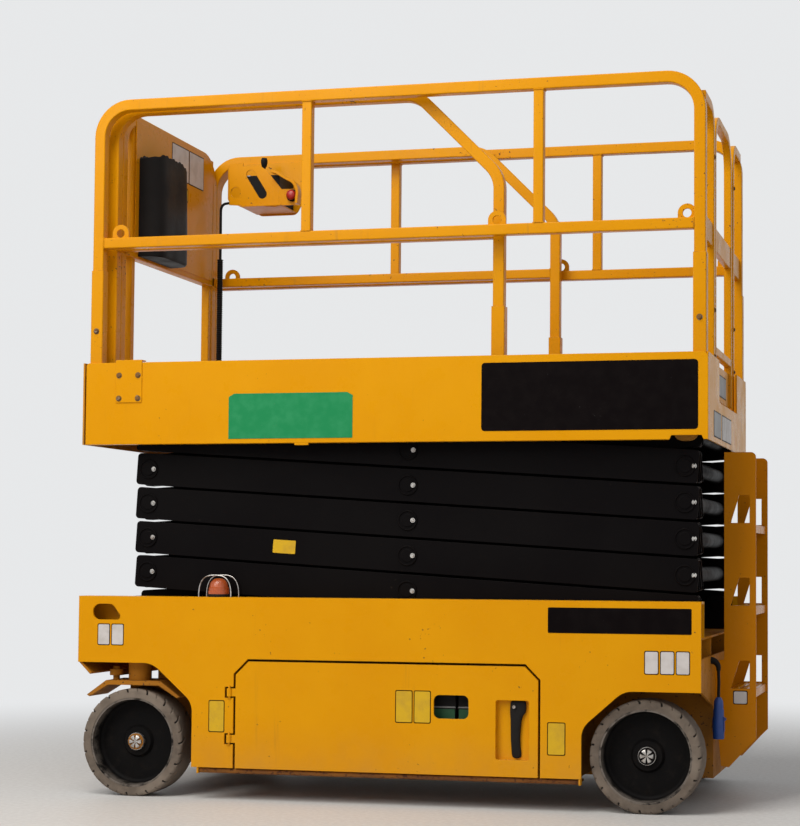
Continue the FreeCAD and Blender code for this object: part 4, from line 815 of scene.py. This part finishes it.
GATE_Y, GATE_FOOT = 0.234, DECK_TOP + 0.02
hoop = bent([(TAIL, y, z) for y, z in ((-GATE_Y, GATE_FOOT), (-GATE_Y, TOP_RAIL - 0.062),
                                       (GATE_Y, TOP_RAIL - 0.062), (GATE_Y, GATE_FOOT))], 0.12)
low_bar = [(TAIL, -0.230, SKIRT_TOP + 0.04), (TAIL, 0.230, SKIRT_TOP + 0.04)]
parts = [square_tube(hoop, 0.014, (1, 0, 0)), prism(band, -0.226, 0.226),
         square_tube(low_bar, 0.014, (1, 0, 0)),
         prism(rounded((TAIL - 0.003, TAIL + 0.003), (GATE_FOOT, SKIRT_TOP), 0.002, 3), -0.226, 0.226)]
for z in HINGE_LEVELS:
    knuckle = [(0.0041, -0.029), (0.007, -0.029), (0.007, 0.029), (0.0041, 0.029), (0.0041, -0.029)]
    parts.append(turned(knuckle, (TAIL, HINGE_Y, z), "Z", 24))
    leaf = rounded((TAIL - 0.003, TAIL + 0.003), (z - 0.029, z + 0.029), 0.002, 3)
    parts.append(prism(leaf, HINGE_Y + 0.006, -0.232))
railing("gate_hoop", parts, "gate", "entry_gate")

# Platform skirts: folded plate with rounded upper corners, a notch at the tail and a broad strap
# that hooks over the top fold and is bolted through.
STRAP_X = (-1.066, -0.964)
for side_name, side in SIDES:
    low_z, high_z = SKIRT_TOP - 0.295, SKIRT_TOP
    turn = np.linspace(0, np.pi / 2, 7)
    tail_top = arc(1.050, high_z - 0.022, 0.022, turn)
    nose_top = arc(-1.169, high_z - 0.012, 0.012, turn + np.pi / 2)
    notch = [(0.941, low_z), (0.947, low_z + 0.014), (1.050, low_z + 0.014), (1.056, low_z), (1.072, low_z)]
    wall = np.concatenate([[(-1.181, low_z)], notch, tail_top, nose_top])
    sheets = []
    for outline, near_y, far_y in (
            (wall, 0.569, SKIRT_FACE),
            (rounded((-1.169, 1.050), (high_z - 0.004, high_z), 0.0015, 3), 0.555, 0.5695),
            (rounded((-1.181, 0.938), (low_z, low_z + 0.005), 0.0015, 3), 0.545, 0.5695),
            (rounded(STRAP_X, (low_z + 0.15, high_z + 0.009), 0.006), 0.5736, 0.578),
            (rounded(STRAP_X, (high_z + 0.005, high_z + 0.009), 0.0015, 3), 0.541, 0.577),
            (rounded((-0.386, -0.334), (low_z - 0.008, low_z + 0.002), 0.003, 4), 0.565, 0.5745)):
        sheets.append(prism(outline, *sorted((side * near_y, side * far_y))))
    piece("folded_skirt_" + side_name, gather(sheets[:3]), yellow, "platform", soften=0.0012,
          stands_for="skirt_" + side_name)
    piece("skirt_strap_" + side_name, gather(sheets[3:]), yellow, "platform", soften=0.001)

# Fasteners: small hexagon heads, stained brown by rust, on the deck straps, the rail sleeves and
# the gate posts.
stained = coated("stained_bolt", (0.20, 0.10, 0.03), (0.11, 0.055, 0.028), (0.09, 0.05, 0.03),
                 (0.1, 0.4, 0.3), (0.30, 0.24, 0.19), chip_level=0.6, rub=0.8, gloss=(0.45, 0.7))
for side_name, side in SIDES:
    strap = [(x, side * 0.578, z) for x in (-1.052, -0.979) for z in (1.418, 1.501)]
    sleeve = [(x, side * 0.568, 1.664) for x in (NOSE, TAIL)]
    post = [(TAIL + 0.016, side * POST_Y, z) for z in (1.560, 1.722, 2.262)]
    for name, heads in (("strap", hex_heads(strap, "Y", side, 0.0075, 0.005)),
                        ("sleeve", hex_heads(sleeve, "Y", side, 0.0075, 0.006)),
                        ("post", hex_heads(post, "X", 1, 0.0065, 0.005))):
        piece("%s_bolts_%s" % (name, side_name), heads, stained, "platform")

# Gate hinges: two strips of black nylon, each held by four bright screws beside the gate tube.
strips = []
screws = []
for low_z, high_z in ((2.145, 2.270), (1.733, 1.854)):
    strips.append(prism(rounded((-0.267, -0.246), (low_z, high_z), 0.003), 1.046, 1.053, "X"))
    for z in np.linspace(low_z + 0.016, high_z - 0.016, 4):
        screws.append(hex_heads([(1.053, -0.2565, z)], "X", 1, 0.0040, 0.003))
piece("gate_strips", gather(strips), plastic, "gate", soften=0.0012)
piece("gate_screws", gather(screws), steel, "gate")

# Door latches: a black lever with a broad head, which lies in its pressed recess and bows out a
# little in the middle. A small round lock sits in the head.
lever_rows = [(0.175, 0.420, 0.006), (0.178, 0.420, 0.013), (0.184, 0.4195, 0.016), (0.194, 0.419, 0.0165),
              (0.21, 0.4175, 0.0155), (0.24, 0.416, 0.0155), (0.275, 0.4165, 0.0165), (0.305, 0.418, 0.0185),
              (0.32, 0.420, 0.022), (0.330, 0.4235, 0.0265), (0.345, 0.4245, 0.0275),
              (0.362, 0.4245, 0.0270), (0.367, 0.4245, 0.025), (0.369, 0.4245, 0.020)]
height, middle, half = np.array(lever_rows).T
across = np.linspace(-1, 1, 9)
for side_name, side in SIDES:
    bow = 0.5655 + 0.0125 * np.sin(np.pi * np.clip((height - 0.17) / 0.21, 0, 1)) ** 0.6
    front_face = bow[:, None] - 0.004 * across[None] ** 4
    lever = np.stack([middle[:, None] + half[:, None] * across, side * front_face,
                      height[:, None] + 0 * across], -1)
    back = lever * (1, 0, 1) + np.array([0, side * 0.5605, 0])
    piece("latch_lever_" + side_name, skin(np.concatenate([lever, back[:, ::-1]], 1)), plastic,
          "door_" + side_name, True, 0.001, "latch_" + side_name)
    lock = [(0, side * 0.5835), (0.0052, side * 0.5835), (0.006, side * 0.5825), (0.006, side * 0.574)]
    piece("latch_lock_" + side_name, turned(lock, (0.4125, 0, 0.349), "Y", 24), steel, "door_" + side_name,
          True)

# Document box: a moulded black pouch on the front panel, with rounded sides and a mouth whose
# lip has been bent and torn.
box_low, box_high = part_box("document_box")
COLUMNS = 49
round_way = np.linspace(0, 1, COLUMNS)
face_y = box_low.y + (box_high.y - box_low.y) * round_way
bulge = np.clip(1 - np.abs(2 * round_way - 1) ** 7, 0, None) ** 0.5
lip_z = box_high.z - 0.003 - 0.055 * np.clip((round_way - 0.62) / 0.38, 0, 1) ** 2.2
lip_z = lip_z - 0.018 * np.clip((0.14 - round_way) / 0.14, 0, 1) ** 2
lip_z = lip_z + 0.005 * np.sin(19 * round_way) * np.sin(47 * round_way + 1) - 0.005
rows = []
for up, out, inset in ((0.0, 0.93, 0.0), (0.02, 1.0, 0.0), (0.35, 1.0, 0.0), (0.7, 0.97, 0.0),
                       (0.95, 0.94, 0.0), (1.0, 0.94, 0.0), (1.0, 0.90, 0.003), (0.93, 0.89, 0.0035),
                       (0.80, 0.88, 0.004)):
    high = box_low.z + (lip_z - box_low.z) * up
    shell_x = box_low.x + 0.0015 + (box_high.x - box_low.x - 0.0015) * bulge * out - inset * 0.5
    squeezed = face_y + np.sign(0.5 - round_way) * inset * (bulge < 0.9)
    front_row = np.stack([np.maximum(shell_x, box_low.x + 0.001), squeezed, high], 1)
    back_row = np.stack([np.full(COLUMNS, box_low.x + inset), squeezed, high], 1)[::-1]
    rows.append(np.concatenate([front_row, back_row]))
piece("document_pouch", skin(rows), plastic, "extension", True, stands_for="document_box")

# Control box: a black moulded case on the far inner rail with a hand lever on top. A yellow guard
# plate with a slot covers its front, and a hooked edge shields the red stop button.
case_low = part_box("control_station")[0]
case_x = (-0.916, -0.766)
parts = [prism(rounded(case_x, (case_low.z, case_low.z + 0.120), 0.010), 0.275, 0.441),
         prism(rounded((-0.900, -0.782), (case_low.z + 0.117, case_low.z + 0.124), 0.003, 3), 0.290, 0.426)]
piece("control_case", gather(parts), plastic, "extension", soften=0.004,
      stands_for="control_station")
lever = [(0.0, 0.119), (0.017, 0.119), (0.018, 0.124), (0.014, 0.132), (0.008, 0.139), (0.0055, 0.150),
         (0.0055, 0.168), (0.010, 0.176), (0.0135, 0.190), (0.0135, 0.202), (0.010, 0.210), (0.0, 0.2118)]
piece("hand_lever", turned([(r, case_low.z + z) for r, z in lever], (-0.866, 0.365, 0), "Z", 28), plastic,
      "extension", True, stands_for="control_station")


def moulded(name, mottle, colour, second, gloss, grain):
    """Plastic coloured right through: a faint mottle between two colours."""
    material, tree, shader, place = bare_material(name)
    fade = noise(tree, place, *mottle)
    base = blend_colour(tree, fade, (*colour, 1), (*second, 1))
    dress(tree, shader, place, base, ramp(tree, fade, 0.3, 0.8, *gloss), grain)
    return material


red = moulded("stop_red", (60.0, 4.0), (0.42, 0.008, 0.006), (0.30, 0.012, 0.01), (0.28, 0.5),
              (200.0, 900.0, 0.00005))
button = [(0.0, 0.241), (0.010, 0.2415), (0.016, 0.244), (0.0195, 0.249), (0.020, 0.254), (0.0165, 0.257),
          (0.010, 0.258), (0.010, 0.266)]
STOP_X, STOP_Z = -0.708, 2.300
piece("stop_button", turned(button, (STOP_X, 0, STOP_Z), "Y", 32), red, "extension", True,
      stands_for="control_station")
collar = [(0.010, 0.261), (0.022, 0.261), (0.024, 0.263), (0.024, 0.2695)]
piece("stop_collar", turned(collar, (STOP_X, 0, STOP_Z), "Y", 32), plastic, "extension",
      True)


def slotted(outline, holes, low_y, high_y):
    """A plate in the XZ plane with holes: the outline less the holes, filled by triangles on both faces
    and closed by walls along every edge."""
    work = bmesh.new()
    for ring in [outline] + holes:
        spots = [work.verts.new((u, low_y, v)) for u, v in ring]
        for first, second in zip(spots, spots[1:] + spots[:1]):
            work.edges.new((first, second))
    bmesh.ops.triangle_fill(work, edges=work.edges[:], use_dissolve=False)
    drawn = bmesh.ops.extrude_face_region(work, geom=work.faces[:])
    raised = [item for item in drawn["geom"] if isinstance(item, bmesh.types.BMVert)]
    bmesh.ops.translate(work, verts=raised, vec=(0, high_y - low_y, 0))
    work.verts.index_update()
    points = np.array([vert.co[:] for vert in work.verts])
    faces = [[vert.index for vert in face.verts] for face in work.faces]
    work.free()
    return points, faces


turn = np.linspace(0, 2 * np.pi, 32, endpoint=False)
round_hole = arc(-0.950, 2.322, 0.022, turn)
lean = math.radians(-58)
end_turn = np.linspace(-np.pi / 2, np.pi / 2, 12)
slot_u = np.concatenate([0.048 + 0.019 * np.cos(end_turn), -0.048 - 0.019 * np.cos(end_turn)])
slot_v = np.concatenate([0.019 * np.sin(end_turn), -0.019 * np.sin(end_turn)])
slot_hole = np.stack([-0.862 + slot_u * math.cos(lean) - slot_v * math.sin(lean),
                      2.352 + slot_u * math.sin(lean) + slot_v * math.cos(lean)], 1)
plate_edge = [(-0.978, 2.272), (-0.782, 2.258), (-0.756, 2.262), (-0.756, 2.330), (-0.820, 2.408),
              (-0.850, 2.428), (-0.920, 2.428), (-0.920, 2.440), (-0.978, 2.440)]
shield = slotted(plate_edge, [round_hole.tolist(), slot_hole.tolist()], 0.270, 0.2745)
elbow = arc(-0.7375, 2.305, 0.060, np.linspace(math.radians(75), math.radians(-15), 12))
path = np.concatenate([[(-0.790, 2.398), (-0.765, 2.390)], elbow, [(-0.6815, 2.262)]])
ahead = np.gradient(path, axis=0)
ahead /= np.linalg.norm(ahead, axis=1, keepdims=True)
aside = np.stack([-ahead[:, 1], ahead[:, 0]], 1) * 0.0055
hook = prism(np.concatenate([path + aside, (path - aside)[::-1]]), 0.236, 0.274)
back_strip = prism(rounded((-0.766, -0.684), (2.262, 2.328), 0.004), 0.2695, 0.2745)
piece("control_guard", gather([shield, hook, back_strip]), rail_yellow, "extension")

# Control cable: it leaves the case at the nose side, turns down over the inner rail's corner and
# runs in a ribbed conduit to the deck.
CORD_RADIUS = 0.0055
CABLE_X, CABLE_Y = -1.064, 0.395
cable_points = [(-0.916, CABLE_Y, 2.308), (-0.960, CABLE_Y, 2.308), (-1.020, CABLE_Y, 2.306),
                (CABLE_X, CABLE_Y, 2.300), (CABLE_X, CABLE_Y, 2.240), (-1.063, 0.394, 2.140)]
cable_points += [(CABLE_X, CABLE_Y, z) for z in (2.000, 1.820, 1.620, 1.500, 1.4185)]


def cord_curve(name, points, body):
    """A round black cord whose centre line is the NURBS spline of its points."""
    line = bpy.data.curves.new(name, "CURVE")
    line.dimensions = "3D"
    line.bevel_depth = CORD_RADIUS
    line.bevel_resolution = 4
    line.resolution_u = 8
    line.use_fill_caps = True
    spline = line.splines.new("NURBS")
    spline.points.add(len(points) - 1)
    for spot, point in zip(spline.points, points):
        spot.co = (*point, 1)
    spline.order_u = 3
    spline.use_endpoint_u = True
    line.materials.append(plastic)
    thing = add_object(name, line)
    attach(thing, body)
    return thing


cable = cord_curve("control_cable", cable_points, "extension")
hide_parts("station_conduit")
RIB_PITCH = 0.0078
rib_z = np.arange(1.4205, 2.070, RIB_PITCH / 4)
rib_radius = 0.0112 + 0.0014 * np.tanh(2.5 * np.sin(2 * np.pi * rib_z / RIB_PITCH))
ribs = np.concatenate([[(0.005, rib_z[0])], np.stack([rib_radius, rib_z], 1),
                       [(0.0115, 2.0715), (0.005, 2.0715)]])
sleeve = piece("ribbed_conduit", turned(ribs, (CABLE_X, CABLE_Y, 0), "Z", 16), plastic, "extension",
               True, stands_for="station_conduit")
boot = [(0.0085, 0.0), (0.0105, 0.002), (0.0095, 0.012), (0.0070, 0.034), (0.0062, 0.040), (0.004, 0.040)]
piece("cable_boot", turned([(r, -0.914 - reach) for r, reach in boot], (0, CABLE_Y, 2.308), "X", 20),
      plastic, "extension", True)

# Charging lead: a black cord leaves the tail through a moulded elbow and hangs straight down
# to a blue plastic coupler with a sprung lid.
LEAD_X, LEAD_Y = 1.076, -0.330
lead_points = [(LEAD_X, LEAD_Y, 0.483), (LEAD_X, LEAD_Y, 0.456), (1.0775, -0.331, 0.430),
               (LEAD_X, LEAD_Y, 0.404), (LEAD_X, LEAD_Y, 0.377)]
lead = cord_curve("charge_cord", lead_points, "chassis")
turn = np.linspace(0, np.pi / 2, 9)
boot_path = np.stack([1.0495 + 0.0265 * np.sin(turn), np.full(9, LEAD_Y), 0.478 + 0.027 * np.cos(turn)], 1)
boot_path = np.concatenate([boot_path, [(LEAD_X, LEAD_Y, 0.470)]])
piece("cord_elbow", pipe(boot_path, np.linspace(0.0125, 0.0075, 10), (0, 1, 0), 20), plastic, "chassis",
      True)
blue = moulded("coupler_blue", (45.0, 5.0, 0.6), (0.012, 0.055, 0.26), (0.008, 0.035, 0.17), (0.35, 0.6),
               (150.0, 800.0, 0.0001))
shell = [(0.0, 0.379), (0.0085, 0.379), (0.0115, 0.374), (0.0155, 0.366), (0.0165, 0.352), (0.0165, 0.340),
         (0.0185, 0.336), (0.0185, 0.312), (0.0205, 0.309), (0.0210, 0.300), (0.0210, 0.262),
         (0.0195, 0.259), (0.0195, 0.240), (0.0185, 0.237), (0.0165, 0.237), (0.0160, 0.250), (0.0, 0.250)]
coupler = piece("blue_coupler", turned(shell, (LEAD_X, LEAD_Y, 0), "Z", 40), blue, "chassis",
                True)
lid = prism(rounded((1.094, 1.0965), (0.262, 0.312), 0.001), -0.342, -0.318)
catch = prism(rounded((1.0915, 1.102), (0.300, 0.309), 0.002), -0.338, -0.322)
piece("coupler_lid", gather([lid, catch]), blue, "chassis", soften=0.0006)

# Beacon: an amber lens in steps on a black base, under two bent wire hoops.
amber, tree, shader, place = bare_material("amber_lens")
flutes = put(tree, "TexWave", {"Vector": place, "Scale": 60.0}, wave_type="RINGS", rings_direction="Z")
shade = noise(tree, place, 30.0, 5.0)
base = blend_colour(tree, shade, (0.50, 0.085, 0.008, 1), (0.36, 0.07, 0.015, 1))
feed(tree, shader, {"Base Color": base, "Roughness": ramp(tree, shade, 0.3, 0.8, 0.22, 0.45),
                    "Coat Weight": 0.3})
relief(tree, shader, flutes.outputs[1], 0.0004)
beacon_low, beacon_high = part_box("beacon")
beacon_x, beacon_y = (beacon_low.x + beacon_high.x) / 2, (beacon_low.y + beacon_high.y) / 2
beacon_at = (beacon_x, beacon_y, 0)
lens = [(0.0375, 0.716), (0.0375, 0.730), (0.0355, 0.732), (0.0355, 0.742), (0.0330, 0.744), (0.0320, 0.752),
        (0.0285, 0.762), (0.0215, 0.770), (0.0130, 0.7745), (0.0, 0.776)]
piece("beacon_lens", turned(lens, beacon_at, "Z", 48), amber, "chassis", True,
      stands_for="beacon")
foot = [(0.0, 0.711), (0.0410, 0.711), (0.0415, 0.713), (0.0410, 0.717), (0.0390, 0.718), (0.0380, 0.720),
        (0.0, 0.720)]
piece("beacon_foot", turned(foot, beacon_at, "Z", 48), plastic, "chassis", True,
      stands_for="beacon")
swing = np.linspace(0, np.pi, 33)
reach = np.sign(np.cos(swing)) * np.abs(np.cos(swing)) ** 0.7
rise = 0.7105 + 0.0765 * np.sin(swing) ** 0.75
wires = []
for shift in (-0.037, 0.037):
    path = np.stack([beacon_x + 0.0605 * reach, np.full(33, beacon_y + shift), rise], 1)
    wires.append(pipe(path, 0.0022, (0, 1, 0), 10))
piece("beacon_hoops", gather(wires), steel, "chassis", True, stands_for="beacon")

# Ladder treads: rows of pressed buttons give grip on each folded step.
button = turned([(0.0065, 0.0), (0.0060, 0.0016), (0.0040, 0.0028), (0.0, 0.0030)], (0, 0, 0), "Z", 10)
buttons = []
for height in (0.396, 0.6853, 0.9746):
    for x in (1.115, 1.140, 1.165):
        for y in np.linspace(-0.18, 0.18, 13):
            buttons.append((button[0] + np.array([x, y, height]), button[1]))
piece("tread_buttons", gather(buttons), yellow, "chassis", True)

# Floor, lamps and camera: a pale studio floor, one large soft lamp from the front left, one from
# high above the near side, a weak one from the right, and an even pale room.
PALE = (0.80, 0.81, 0.82, 1)
floor_finish, tree, shader, place = bare_material("floor")
speckle = noise(tree, place, 55.0, 4.0)
base = blend_colour(tree, ramp(tree, speckle, 0.35, 0.7), (0.60, 0.585, 0.565, 1), (0.66, 0.65, 0.63, 1))
feed(tree, shader, {"Base Color": base, "Roughness": 0.6})


def seen_rays(tree):
    """1 for rays that see the background: from the camera, in a reflection or through glass."""
    rays = put(tree, "LightPath").outputs
    mirrored = sums(tree, "MAXIMUM", rays["Is Glossy Ray"], rays["Is Transmission Ray"])
    return sums(tree, "MAXIMUM", rays["Is Camera Ray"], mirrored)


apart = put(tree, "VectorMath", {0: place}, operation="LENGTH").outputs["Value"]
haze = put(tree, "Emission", {"Color": PALE, "Strength": 1.0})
far_off = sums(tree, "MULTIPLY", seen_rays(tree), ramp(tree, apart, 1.6, 5.0))
melt = put(tree, "MixShader", {0: far_off, 1: shader.outputs[0], 2: haze.outputs[0]})
feed(tree, first_of(tree, "OUTPUT_MATERIAL"), {"Surface": melt.outputs[0]})
mesh = bpy.data.meshes.new("floor")
mesh.from_pydata([(-40, -40, 0), (40, -40, 0), (40, 40, 0), (-40, 40, 0)], [], [(0, 1, 2, 3)])
mesh.materials.append(floor_finish)
floor = add_object("floor", mesh)

world = bpy.data.worlds.new("studio")
bpy.context.scene.world = world
world.use_nodes = True
tree = world.node_tree
room = first_of(tree, "BACKGROUND")
feed(tree, room, {"Color": (0.95, 0.97, 1.0, 1), "Strength": 0.32})
pale = put(tree, "Background", {"Color": PALE, "Strength": 1.0})
either = put(tree, "MixShader", {0: seen_rays(tree), 1: room.outputs[0], 2: pale.outputs[0]})
feed(tree, first_of(tree, "OUTPUT_WORLD"), {"Surface": either.outputs[0]})


def lamp(name, spot, aim, size, power, colour):
    """A square soft lamp at a spot, turned to an aim."""
    data = bpy.data.lights.new(name, "AREA")
    data.size = size
    data.energy = power
    data.color = colour
    thing = add_object(name, data)
    thing.location = spot
    back = np.asarray(spot) - np.asarray(aim)
    thing.rotation_euler = (math.atan2(math.hypot(back[0], back[1]), back[2]), 0,
                            math.atan2(back[0], -back[1]))


lamp("key_lamp", (-3.0, -6.0, 5.0), (0, 0, 1.1), 4.0, 240, (1.0, 0.97, 0.92))
lamp("high_lamp", (-0.8, -3.2, 6.2), (0, 0, 1.0), 2.6, 190, (1.0, 0.98, 0.95))
lamp("fill_lamp", (4.5, -5.0, 3.0), (0, 0, 1.0), 4.0, 35, (0.95, 0.97, 1.0))

camera_data = bpy.data.cameras.new("photo_camera")
camera_data.sensor_fit = "AUTO"
camera_data.sensor_width = 36
camera_data.lens = 83.07
camera_data.shift_x = -0.134
camera_data.shift_y = 0.06
camera = add_object("photo_camera", camera_data)
camera.location = (1.8874, -6.901, 0.8467)
yaw, pitch, roll = 0.2316, 0.0510, 0.0054
ahead = np.array([-math.sin(yaw) * math.cos(pitch), math.cos(yaw) * math.cos(pitch), math.sin(pitch)])
right = np.array([math.cos(yaw), math.sin(yaw), 0.0])
up = np.cross(right, ahead)
right_rolled = right * math.cos(roll) + up * math.sin(roll)
up_rolled = up * math.cos(roll) - right * math.sin(roll)
axes = np.stack([right_rolled, up_rolled, -ahead], 1)
camera.rotation_mode = "QUATERNION"
camera.rotation_quaternion = Matrix(axes.tolist()).to_quaternion()
bpy.context.scene.camera = camera
bpy.context.scene.view_settings.view_transform = "Standard"
